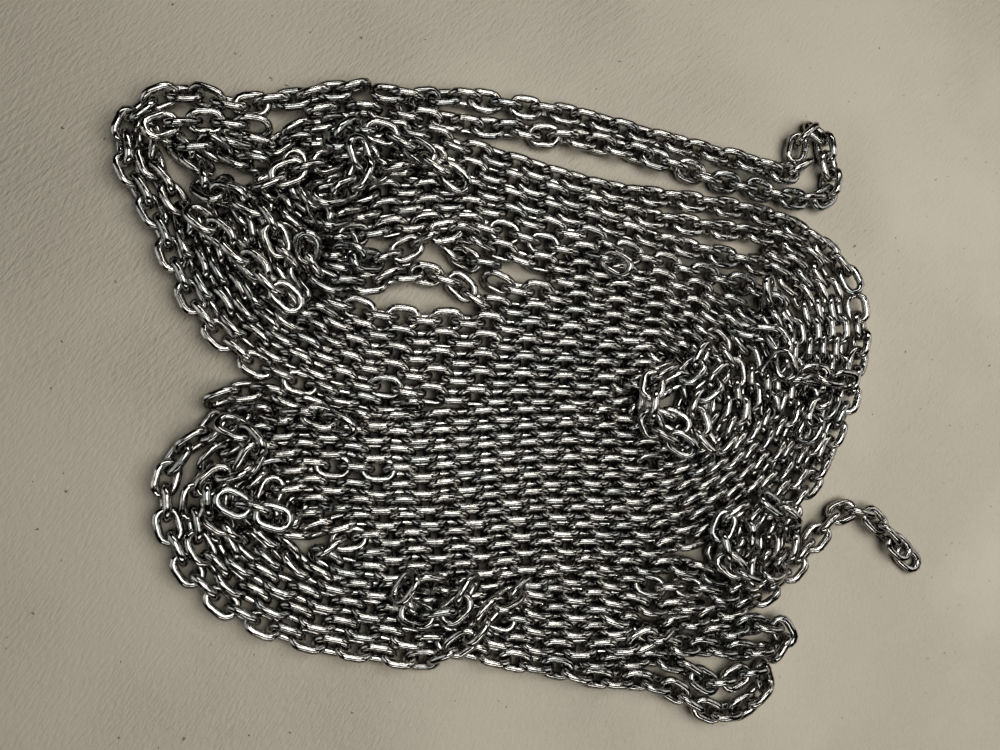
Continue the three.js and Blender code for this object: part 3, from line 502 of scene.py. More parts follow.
@dataclass
class RowLayout:
    """Lays the lengths of chain along their routes and lets their rows settle, as the solids' rows do."""

    link: LinkSizes
    view: FloorView
    row_step: float = 18.0
    seat_gap: float = 0.3
    half_height: float = 10.8
    rounds: int = 260
    rounds_per_listing: int = 10
    layer_drop: float = 9.0
    fall: float = 0.5
    trace_pull: float = 0.03
    along_pull: float = 0.002
    smoothing: float = 0.05
    route_bend: float = 0.85
    crossing_cosine: float = 0.8
    nesting_cosine: float = 0.94
    nesting_reach: float = 1.4
    nesting_pull: float = 0.12
    laid_pitch: float = 23.5
    slackest_step: float = 0.93
    step_tolerance: float = 1e-6
    contact_share: float = 1.3
    listing_reach: float = 1.5
    fewest_between: int = 3
    crossing_side_share: float = 0.3
    links_per_stretch: int = 42
    largest_turn: float = math.radians(135)
    fewest_links: int = 9

    def __post_init__(self) -> None:
        """Places the links along the routes."""
        self.height_stretch = self.half_height / ((self.row_step - self.seat_gap) / 2)
        self.floor_centre = self.half_height * math.sin(math.pi / 3)
        places, layers, chains, orders = [], [], [], []
        for number, length in enumerate(LENGTHS):
            route = np.array([spot for run in length.runs for spot in run.route], float)
            layer = np.array([run.layer for run in length.runs for _ in run.route])
            line, bays = smooth_route(self.view.floor_points(route))
            spots, at = even_steps(line, self.laid_pitch)
            places.append(spots)
            layers.append(layer[bays[at]])
            chains.append(np.full(len(spots), number))
            orders.append(np.arange(len(spots)))
        self.home = np.vstack(places)
        self.layer = np.concatenate(layers)
        self.chain = np.concatenate(chains)
        self.order = np.concatenate(orders)
        height = self.floor_centre + self.layer_drop * (self.layer - 1)
        self.place = np.column_stack((self.home, height))
        self.first = np.flatnonzero(self.chain[:-1] == self.chain[1:])
        self.second = self.first + 1
        self.step_layer = (self.layer[self.first] + self.layer[self.second]) / 2
        ends = self.order == 0
        ends[:-1] |= self.chain[:-1] != self.chain[1:]
        ends[-1] = True
        self.is_end = ends
        here = np.arange(len(self.place))
        self.before = np.where(self.order == 0, here, here - 1)
        last = np.append(self.chain[:-1] != self.chain[1:], True)
        self.after = np.where(last, here, here + 1)

    def list_pairs(self) -> tuple[np.ndarray, np.ndarray]:
        """Finds the steps of chain that are near enough to touch, the one on top first.

        Returns:
            The numbers of the upper and of the lower steps.
        """
        reach = self.link.pitch * self.listing_reach + self.row_step
        start = self.place[self.first]
        near = np.abs(start[:, None, 0] - start[None, :, 0]) <= reach
        near &= np.abs(start[:, None, 1] - start[None, :, 1]) <= reach
        one, other = np.nonzero(np.triu(near, 1))
        order, chain = self.order[self.first], self.chain[self.first]
        between = np.abs(order[one] - order[other])
        apart = (chain[one] != chain[other]) | (between >= self.fewest_between)
        one, other = one[apart], other[apart]
        swap = self.step_layer[other] >= self.step_layer[one]
        return np.where(swap, other, one), np.where(swap, one, other)

    def gather_contact(self, high: np.ndarray, low: np.ndarray) -> tuple[np.ndarray, np.ndarray]:
        """Pushes touching steps apart: beside each other, or over each other where they cross.

        Args:
            high: The upper steps of the pairs.
            low: The lower steps of the pairs.

        Returns:
            The shift of each link, and how many pushes made it.
        """
        flat = self.place / np.array((1.0, 1.0, self.height_stretch))
        a, b = flat[self.first[high]], flat[self.first[low]]
        span_a, span_b = flat[self.second[high]] - a, flat[self.second[low]] - b
        u, v, alike = nearest_points(a, span_a, b, span_b)
        gap = a + span_a * u[:, None] - b - span_b * v[:, None]
        over = (self.step_layer[high] > self.step_layer[low]) & (alike < self.crossing_cosine)
        push = gap.copy()
        push[over, 2] = np.maximum(push[over, 2], self.row_step / 2)
        push[over, :2] *= self.crossing_side_share
        length = np.maximum(np.linalg.norm(push, axis=1), TINY)
        reach = np.where(over, dots(gap, push) / length, length)
        clear = over & (gap[:, 2] > 0) & (np.linalg.norm(gap, axis=1) >= self.row_step)
        overlap = self.row_step - reach
        touching = (overlap > 0) & ~clear
        u, v, push, length, overlap = (x[touching] for x in (u, v, push, length, overlap))
        high, low = high[touching], low[touching]
        weight = (1 - u) ** 2 + u ** 2 + (1 - v) ** 2 + v ** 2
        shift = push * (overlap / weight / length)[:, None]
        shift[:, 2] *= self.height_stretch
        index = np.concatenate((self.first[high], self.second[high], self.first[low], self.second[low]))
        share = np.concatenate((1 - u, u, v - 1, -v))
        total = gathered(index, np.tile(shift, (4, 1)) * share[:, None], len(self.place))
        return total, np.bincount(index, minlength=len(self.place))

    def gather_nesting(self, high: np.ndarray, low: np.ndarray) -> np.ndarray:
        """Brings links that lean alike in rows side by side abreast of each other.

        Args:
            high: The upper steps of the pairs.
            low: The lower steps of the pairs.

        Returns:
            The shift of each link along its row.
        """
        i, j = self.first[high], self.first[low]
        way = unit(self.place[self.second[high], :2] - self.place[i, :2])
        other = unit(self.place[self.second[low], :2] - self.place[j, :2])
        turned = dots(way, other)
        offset = self.place[j] - self.place[i]
        along = dots(offset[:, :2], way)
        side = offset[:, :2] - along[:, None] * way
        across = np.hypot(np.hypot(side[:, 0], side[:, 1]), offset[:, 2] / self.height_stretch)
        near = (np.abs(turned) >= self.nesting_cosine) & (np.abs(along) <= self.link.pitch)
        near &= across <= self.nesting_reach * self.row_step
        i, j, along, turned, way = i[near], j[near], along[near], turned[near], way[near]
        alike = (self.order[i] + self.order[j]) % 2 == np.where(turned > 0, 0, 1)
        off = np.where(alike, along, along - np.where(along < 0, -1.0, 1.0) * self.link.pitch)
        shift = np.column_stack((way * off[:, None] / 2, np.zeros(len(off))))
        size = len(self.place)
        total = gathered(i, shift, size) - gathered(j, shift, size)
        count = np.bincount(i, minlength=size) + np.bincount(j, minlength=size)
        return total / np.maximum(1, count)[:, None]

    def gather_steps(self) -> tuple[np.ndarray, np.ndarray]:
        """Keeps each link's step to the next near the pitch of the chain.

        Returns:
            The shift of each link, and how many steps made it.
        """
        a, b = self.first, self.second
        span = self.place[b] - self.place[a]
        length = np.maximum(np.linalg.norm(span, axis=1), TINY)
        pitch = self.link.pitch
        wanted = np.clip(length, pitch * self.slackest_step, pitch)
        share = (length - wanted) / length / 2
        moved = np.abs(length - wanted) >= self.step_tolerance
        shift = (span * share[:, None])[moved]
        size = len(self.place)
        total = gathered(a[moved], shift, size) - gathered(b[moved], shift, size)
        count = np.bincount(a[moved], minlength=size) + np.bincount(b[moved], minlength=size)
        return total, count

    def hold_steps(self) -> None:
        """Draws the two links of each overlong step together at once."""
        for side in (0, 1):
            chosen = self.order[self.first] % 2 == side
            a, b = self.first[chosen], self.second[chosen]
            span = self.place[b] - self.place[a]
            length = np.linalg.norm(span, axis=1)
            share = np.maximum(0.0, (length - self.link.pitch) / length / 2)[:, None]
            self.place[a] += span * share
            self.place[b] -= span * share

    def settle(self) -> None:
        """Lets the rows down on the floor and on one another."""
        high = low = np.zeros(0, int)
        bend = (self.home[self.before] + self.home[self.after]) / 2 - self.home
        for number in range(self.rounds):
            if number % self.rounds_per_listing == 0:
                high, low = self.list_pairs()
            total, count = self.gather_contact(high, low)
            more, steps = self.gather_steps()
            nest = self.gather_nesting(high, low)
            share = self.contact_share / np.maximum(1, count + steps)
            turn = (self.place[self.before] + self.place[self.after]) / 2 - self.place
            turn[:, :2] -= self.route_bend * bend
            way = unit((self.place[self.after] - self.place[self.before])[:, :2])
            home = self.home - self.place[:, :2]
            along = dots(home, way)
            eased = np.where(self.is_end, 0.0, (self.trace_pull - self.along_pull) * along)
            self.place += (total + more) * share[:, None] + turn * self.smoothing
            self.place[:, :2] += nest[:, :2] * self.nesting_pull
            self.place[:, :2] += self.trace_pull * home - eased[:, None] * way
            self.place[:, 2] = np.maximum(self.place[:, 2] - self.fall, self.floor_centre)
            self.hold_steps()

    def ways(self) -> np.ndarray:
        """The way the chain runs at each link, with heights drawn in to the width."""
        span = self.place[self.after] - self.place[self.before]
        return unit(span / np.array((1.0, 1.0, self.height_stretch)))

    def cut(self) -> dict[str, np.ndarray]:
        """Cuts the lengths where the solids are cut: after so many links, or where one has turned far.

        Returns:
            The links of each stretch, by the name of its solid.
        """
        ways = self.ways()
        stretches = {}
        for number, length in enumerate(LENGTHS):
            row = np.flatnonzero(self.chain == number)
            steps = len(row) - 1
            even = math.ceil(steps / math.ceil(steps / self.links_per_stretch))
            cuts, start = [0], ways[row[0]]
            for i in range(1, steps):
                turned = math.acos(max(-1.0, min(1.0, float(start @ ways[row[i]]))))
                few = i - cuts[-1] < self.fewest_links or steps - i < self.fewest_links
                if not few and (i - cuts[-1] >= even or turned > self.largest_turn):
                    cuts.append(i)
                    start = ways[row[i]]
            cuts.append(steps)
            for k, (begin, end) in enumerate(zip(cuts, cuts[1:])):
                last = end + 1 if end == steps else end
                stretches[f"{length.name}_{k + 1:02d}"] = row[begin:last]
        return stretches


@dataclass
class LinkPile:
    """The single links as rigid rings, which come to rest without passing through one another."""

    link: LinkSizes
    bow_steps: int = 5
    rounds: int = 300
    rounds_per_listing: int = 8
    listing_margin: float = 2.5
    early_fall: float = 0.3
    late_fall: float = 0.06
    early_rounds: int = 60
    closing_rounds: int = 120
    home_pull: float = 0.02
    turn_pull: float = 0.06
    contact_share: float = 1.7
    crowd_power: float = 0.75
    most_shift: float = 1.2
    most_turn: float = 0.12
    spin_weights: tuple[float, float, float] = (59.8, 120.0, 180.0)

    def set_links(self, centres: np.ndarray, turns: np.ndarray) -> None:
        """Takes the links as they are laid.

        Args:
            centres: The links' middles, in millimetres.
            turns: The links' own axes, as the columns of a matrix each.
        """
        self.centre = centres.copy()
        self.turn = turns.copy()
        self.home = centres.copy()
        self.home_turn = turns.copy()
        angles = np.linspace(-math.pi / 2, math.pi / 2, self.bow_steps + 1)
        bow = np.column_stack((np.cos(angles), np.sin(angles), np.zeros(len(angles))))
        bow *= self.link.bow_radius
        bow[:, 0] += self.link.half_bar
        self.stations = np.vstack((bow, -bow))
        ends = np.roll(self.stations, -1, axis=0)
        self.halves = np.linalg.norm(ends - self.stations, axis=1) / 2

    def wires(self) -> tuple[np.ndarray, np.ndarray]:
        """The straight pieces of every link's wire.

        Returns:
            Their starts, and the way from each start to its end.
        """
        starts = self.centre[:, None] + np.einsum("nij,mj->nmi", self.turn, self.stations)
        return starts, np.roll(starts, -1, axis=1) - starts

    def list_contacts(self) -> tuple[np.ndarray, np.ndarray, np.ndarray, np.ndarray]:
        """Finds the pieces of wire of different links that may touch in the next rounds.

        Returns:
            The first links and their pieces, and the second links and theirs.
        """
        reach = 2 * (self.link.half_bar + self.link.bow_radius) + self.link.wire + self.listing_margin
        flat = self.centre
        squares = dots(flat, flat)
        apart = squares[:, None] + squares[None] - 2 * flat @ flat.T
        one, other = np.nonzero(np.triu(apart < reach ** 2, 1))
        starts, spans = self.wires()
        middles = starts + spans / 2
        gaps = middles[one][:, :, None] - middles[other][:, None]
        limit = self.halves[:, None] + self.halves[None] + self.link.wire + self.listing_margin
        pair, a, b = np.nonzero(np.einsum("pijk,pijk->pij", gaps, gaps) < limit ** 2)
        return one[pair], a, other[pair], b

    def push(self, index: np.ndarray, arm: np.ndarray, normal: np.ndarray) -> np.ndarray:
        """How easily each link gives way to a push.

        Args:
            index: The links pushed.
            arm: From each link's middle to the place of the push.
            normal: The way of the push.

        Returns:
            The ease of each push, and the spin that a push of one millimetre gives.
        """
        moment = np.cross(arm, normal)
        own = np.einsum("nji,nj->ni", self.turn[index], moment)
        spin = np.einsum("nij,nj->ni", self.turn[index], own / np.array(self.spin_weights))
        return 1.0 + dots(moment, spin), spin

    def relax(self, contacts: tuple[np.ndarray, ...], fall: float, pull: float) -> float:
        """One round: links give way to one another and to the floor, and come back towards their places.

        Args:
            contacts: The listed pieces of wire.
            fall: How far each link comes down in the round.
            pull: The share of the pull towards the places laid.

        Returns:
            The deepest overlap of two wires.
        """
        size = len(self.centre)
        i, a, j, b = contacts
        starts, spans = self.wires()
        share_a, share_b, _ = nearest_points(starts[i, a], spans[i, a], starts[j, b], spans[j, b])
        spot_a = starts[i, a] + spans[i, a] * share_a[:, None]
        spot_b = starts[j, b] + spans[j, b] * share_b[:, None]
        gap = spot_a - spot_b
        length = np.linalg.norm(gap, axis=1)
        touching = length < self.link.wire
        i, j, spot_a, spot_b = i[touching], j[touching], spot_a[touching], spot_b[touching]
        gap, length = gap[touching], length[touching]
        normal = gap / np.maximum(length, LEAST_GAP)[:, None]
        depth = self.link.wire - length
        ease_i, spin_i = self.push(i, spot_a - self.centre[i], normal)
        ease_j, spin_j = self.push(j, spot_b - self.centre[j], normal)
        force = (depth / (ease_i + ease_j))[:, None]
        low_link, low_spot = np.nonzero(starts[:, :, 2] < self.link.wire / 2)
        lift = self.link.wire / 2 - starts[low_link, low_spot, 2]
        up = np.tile(UP, (len(low_link), 1))
        ease_f, spin_f = self.push(low_link, starts[low_link, low_spot] - self.centre[low_link], up)
        floor = (lift / ease_f)[:, None]
        index = np.concatenate((i, j, low_link))
        shift = gathered(index, np.vstack((normal * force, -normal * force, up * floor)), size)
        spin = gathered(index, np.vstack((spin_i * force, -spin_j * force, spin_f * floor)), size)
        count = np.bincount(index, minlength=size)
        share = (self.contact_share / np.maximum(1.0, count ** self.crowd_power))[:, None]
        shift = shift * share
        spin = spin * share
        shift[:, :2] += (self.home - self.centre)[:, :2] * self.home_pull * pull
        back = 0.5 * np.cross(self.turn, self.home_turn, axis=1).sum(axis=2)
        spin += back * self.turn_pull * pull
        for change, most in ((shift, self.most_shift), (spin, self.most_turn)):
            size_of = np.linalg.norm(change, axis=1, keepdims=True)
            change *= np.minimum(1.0, most / np.maximum(size_of, TINY))
        shift[:, 2] -= fall
        self.centre += shift
        self.spin(spin)
        return float(depth.max(initial=0.0))

    def spin(self, turn: np.ndarray) -> None:
        """Turns each link about its middle.

        Args:
            turn: The axis of each turn, as long as its angle.
        """
        angle = np.linalg.norm(turn, axis=1)
        axis = turn / np.maximum(angle, TINY)[:, None]
        sine, cosine = np.sin(angle)[:, None, None], np.cos(angle)[:, None, None]
        along = np.einsum("ni,nik->nk", axis, self.turn)[:, None] * axis[:, :, None]
        crossed = np.cross(axis[:, :, None], self.turn, axis=1)
        turned = self.turn * cosine + crossed * sine + along * (1 - cosine)
        first = unit(turned[:, :, 0])
        third = unit(np.cross(first, turned[:, :, 1]))
        self.turn = np.stack((first, np.cross(third, first), third), axis=2)

    def settle(self) -> float:
        """Lets the links come to rest.

        Returns:
            The deepest overlap that is left, in millimetres.
        """
        contacts: tuple[np.ndarray, ...] = ()
        deepest = 0.0
        for number in range(self.rounds):
            if number % self.rounds_per_listing == 0:
                contacts = self.list_contacts()
            closing = number >= self.rounds - self.closing_rounds
            fall = self.early_fall if number < self.early_rounds else self.late_fall
            deepest = self.relax(contacts, 0.0 if closing else fall, 0.0 if closing else 1.0)
        lowest = self.wires()[0][:, :, 2].min(axis=1) - self.link.wire / 2
        self.centre[:, 2] -= np.minimum(lowest, 0.0)
        return deepest


Value = Union["Socket", bpy.types.NodeSocket, float, tuple]


class Socket:
    """A value in a node tree. Sums, products and comparisons of it add Math nodes to the tree."""

    def __init__(self, tree: "Tree", socket: bpy.types.NodeSocket) -> None:
        """Wraps an output of a node.

        Args:
            tree: The tree that the node is in.
            socket: The node's output.
        """
        self.tree = tree
        self.socket = socket

    def maths(self, operation: str, *values: Value) -> "Socket":
        """Adds a Math node.

        Args:
            operation: The node's operation.
            values: What its inputs get.

        Returns:
            The node's output.
        """
        return self.tree.add("ShaderNodeMath", {"operation": operation}, dict(enumerate(values)))

    def __add__(self, other: Value) -> "Socket":
        """The sum."""
        return self.maths("ADD", self, other)

    __radd__ = __add__

    def __sub__(self, other: Value) -> "Socket":
        """The difference."""
        return self.maths("SUBTRACT", self, other)

    def __rsub__(self, other: Value) -> "Socket":
        """The difference, the other way round."""
        return self.maths("SUBTRACT", other, self)

    def __mul__(self, other: Value) -> "Socket":
        """The product."""
        return self.maths("MULTIPLY", self, other)

    __rmul__ = __mul__

    def __truediv__(self, other: Value) -> "Socket":
        """The quotient."""
        return self.maths("DIVIDE", self, other)

    def __gt__(self, other: Value) -> "Socket":
        """One where it is greater, else nought."""
        return self.maths("GREATER_THAN", self, other)

    def __abs__(self) -> "Socket":
        """The size without the sign."""
        return self.maths("ABSOLUTE", self)

    def ramp(self, low: float, high: float) -> "Socket":
        """A smooth rise from nought at low to one at high."""
        return self.tree.add("ShaderNodeMapRange", {"interpolation_type": "SMOOTHSTEP"},
                             {"Value": self, "From Min": low, "From Max": high})


class Tree:
    """A node tree that one method fills."""

    mix_factor, mix_first, mix_second, mixed = 0, 6, 7, 2

    def __init__(self, tree: bpy.types.NodeTree) -> None:
        """Takes the tree and empties it."""
        self.tree = tree
        tree.nodes.clear()

    def add(self, kind: str, settings: dict | None = None, values: dict | None = None,
            output: Union[int, str] = 0) -> Socket:
        """Adds a node.

        Args:
            kind: The node's type.
            settings: The node's own settings, which are set first.
            values: Values or links for its inputs, by name or number.
            output: The name or number of the output that is wanted.

        Returns:
            The node's output.
        """
        node = self.tree.nodes.new(kind)
        for name, value in (settings or {}).items():
            setattr(node, name, value)
        for name, value in (values or {}).items():
            if isinstance(value, Socket):
                self.tree.links.new(value.socket, node.inputs[name])
            elif isinstance(value, bpy.types.NodeSocket):
                self.tree.links.new(value, node.inputs[name])
            else:
                node.inputs[name].default_value = value
        if not len(node.outputs):
            return Socket(self, node.inputs[0])
        return Socket(self, node.outputs[output])

    def mix(self, factor: Value, one: Value, other: Value) -> Socket:
        """Mixes two colours.

        Args:
            factor: The share of the second colour.
            one: The first colour.
            other: The second colour.

        Returns:
            The mixed colour.
        """
        values = {self.mix_factor: factor, self.mix_first: one, self.mix_second: other}
        return self.add("ShaderNodeMix", {"data_type": "RGBA"}, values, self.mixed)

    def noise(self, place: Socket, scale: float, detail: float, roughness: float = 0.5) -> Socket:
        """Adds a noise pattern.

        Args:
            place: Where on the surface a point lies.
            scale: How fine the pattern is.
            detail: How many finer patterns are laid over it.
            roughness: How strong these are.

        Returns:
            The pattern, from 0 to 1.
        """
        return self.add("ShaderNodeTexNoise", None, {
            "Vector": place, "Scale": scale, "Detail": detail, "Roughness": roughness}, "Fac")


def new_material(name: str) -> tuple[bpy.types.Material, Tree]:
    """Makes a material, and its node tree to fill.

    Args:
        name: The name of the material.

    Returns:
        The material and its tree.
    """
    material = bpy.data.materials.new(name)
    material.use_nodes = True
    return material, Tree(material.node_tree)


def add_object(name: str, data: bpy.types.ID) -> bpy.types.Object:
    """Puts a mesh, a lamp or a camera into the scene as an object.

    Args:
        name: The name of the object.
        data: The mesh, lamp or camera that it shows.

    Returns:
        The object.
    """
    thing = bpy.data.objects.new(name, data)
    bpy.context.scene.collection.objects.link(thing)
    return thing


class Attribute(Enum):
    """The names of what each point of a link's mesh knows."""

    ALONG = "along_link"
    TONE = "link_tone"
    TURN = "link_turn"


@dataclass(frozen=True)
class PolishedSteel:
    """Polished stainless steel, dulled and scuffed by handling, with a tone of its own for each link."""

    name: str = "polished_steel"
    bright: tuple = (0.53, 0.515, 0.49, 1.0)
    dull: tuple = (0.25, 0.242, 0.228, 1.0)
    dark: tuple = (0.15, 0.15, 0.147, 1.0)
    bloom: tuple = (0.27, 0.33, 0.34, 1.0)
    dark_share: float = 0.5
    bloom_share: float = 0.15
    bloom_from: float = 0.84
    scuff_scale: float = 160.0
    scuff_detail: float = 4.0
    scuff_roughness: float = 0.65
    scuff_limits: tuple[float, float] = (0.38, 0.66)
    scuff_relief: float = 2.0
    grain_scale: float = 900.0
    grain_detail: float = 3.0
    weld_limits: tuple[float, float] = (0.0010, 0.0022)
    roughness: float = 0.10
    roughness_spread: float = 0.09
    weld_roughness: float = 0.15
    relief: float = 0.12
    relief_depth: float = 0.0004

    def make(self) -> bpy.types.Material:
        """Builds the material.

        Returns:
            The steel of the links.
        """
        material, tree = new_material(self.name)
        place = tree.add("ShaderNodeTexCoord", output="Object")
        tone = tree.add("ShaderNodeAttribute", {"attribute_name": Attribute.TONE.value}, output="Fac")
        along = tree.add("ShaderNodeAttribute", {"attribute_name": Attribute.ALONG.value}, output="Fac")
        scuff = tree.noise(place, self.scuff_scale, self.scuff_detail, self.scuff_roughness)
        grain = tree.noise(place, self.grain_scale, self.grain_detail)
        worn = scuff.ramp(*self.scuff_limits)
        colour = tree.mix(worn, self.bright, self.dull)
        colour = tree.mix(tone * self.dark_share, colour, self.dark)
        colour = tree.mix((tone > self.bloom_from) * self.bloom_share, colour, self.bloom)
        weld = 1.0 - abs(along).ramp(*self.weld_limits)
        roughness = self.roughness + worn * self.roughness_spread + weld * self.weld_roughness
        bump = tree.add("ShaderNodeBump", None, {
            "Strength": self.relief, "Distance": self.relief_depth,
            "Height": grain + scuff * self.scuff_relief})
        shader = tree.add("ShaderNodeBsdfPrincipled", None, {
            "Base Color": colour, "Metallic": 1.0, "Roughness": roughness, "Normal": bump})
        tree.add("ShaderNodeOutputMaterial", None, {"Surface": shader})
        return material


@dataclass(frozen=True)
class Strokes:
    """Marks left by a tool: their way over the floor, their length and width in metres."""

    angle: float
    length: float
    width: float
    detail: float = 3.0
    roughness: float = 0.55

    def height(self, tree: Tree, place: Socket) -> Socket:
        """Adds the relief of the marks to a material, from 0 to 1."""
        along = tree.add("ShaderNodeMapping", {"vector_type": "TEXTURE"}, {
            "Vector": place, "Rotation": (0.0, 0.0, self.angle), "Scale": (self.length, self.width, 1.0)})
        return tree.noise(along, 1.0, self.detail, self.roughness)


@dataclass(frozen=True)
class PaintedFloor:
    """A pale painted floor, trowelled by hand, with painted shade darkening it close under and beside the
    chain.
    """

    name: str = "painted_floor"
    pale: tuple = (0.274, 0.258, 0.224, 1.0)
    darker: tuple = (0.243, 0.229, 0.199, 1.0)
    # Colour of the painted shade under and beside the chain; the reach below is how far from the links it
    # darkens the floor
    painted_shade: tuple = (0.03, 0.027, 0.021, 1.0)
    pit: tuple = (0.12, 0.11, 0.09, 1.0)
    painted_shade_reach: float = 0.007
    half_width: float = 2.5
    short_strokes: Strokes = Strokes(math.radians(55), 0.009, 0.003)
    long_strokes: Strokes = Strokes(math.radians(38), 0.090, 0.006)
    patch_scale: float = 3.0
    patch_detail: float = 4.0
    patch_limits: tuple[float, float] = (0.35, 0.65)
    pit_scale: float = 130.0
    pit_detail: float = 2.0
    pit_limits: tuple[float, float] = (0.735, 0.765)
    pit_relief: float = 0.5
    short_relief: float = 0.6
    # Samples for finding how closely the chain hides each spot of floor, for the painted shade
    painted_shade_samples: int = 8
    roughness: float = 0.6
    gloss: float = 0.15
    relief: float = 0.7
    relief_depth: float = 0.0022

    def material(self) -> bpy.types.Material:
        """Builds the paint.

        Returns:
            The material of the floor.
        """
        material, tree = new_material(self.name)
        place = tree.add("ShaderNodeTexCoord", output="Object")
        broad = tree.noise(place, self.patch_scale, self.patch_detail)
        spots = tree.noise(place, self.pit_scale, self.pit_detail)
        short = self.short_strokes.height(tree, place)
        long = self.long_strokes.height(tree, place)
        pits = spots.ramp(*self.pit_limits)
        patches = broad.ramp(*self.patch_limits)
        colour = tree.mix(patches, self.pale, self.darker)
        colour = tree.mix(pits, colour, self.pit)
        # Painted shade: the floor's colour turns dark where the chain stands close over it or beside it
        open_to_light = tree.add("ShaderNodeAmbientOcclusion", {"samples": self.painted_shade_samples},
                            {"Distance": self.painted_shade_reach}, "AO")
        colour = tree.mix(open_to_light, self.painted_shade, colour)
        rough = self.short_relief + self.short_relief * patches
        height = short * rough + long * patches - pits * self.pit_relief
        bump = tree.add("ShaderNodeBump", None, {
            "Strength": self.relief, "Distance": self.relief_depth, "Height": height})
        shader = tree.add("ShaderNodeBsdfPrincipled", None, {
            "Base Color": colour, "Roughness": self.roughness, "Specular IOR Level": self.gloss,
            "Normal": bump})
        tree.add("ShaderNodeOutputMaterial", None, {"Surface": shader})
        return material

    def make(self) -> bpy.types.Object:
        """Builds the floor.

        Returns:
            The floor, as one flat square.
        """
        mesh = bpy.data.meshes.new(self.name)
        half = self.half_width
        corners = [(-half, -half, 0.0), (half, -half, 0.0), (half, half, 0.0), (-half, half, 0.0)]
        mesh.from_pydata(corners, [], [(0, 1, 2, 3)])
        mesh.materials.append(self.material())
        return add_object(self.name, mesh)


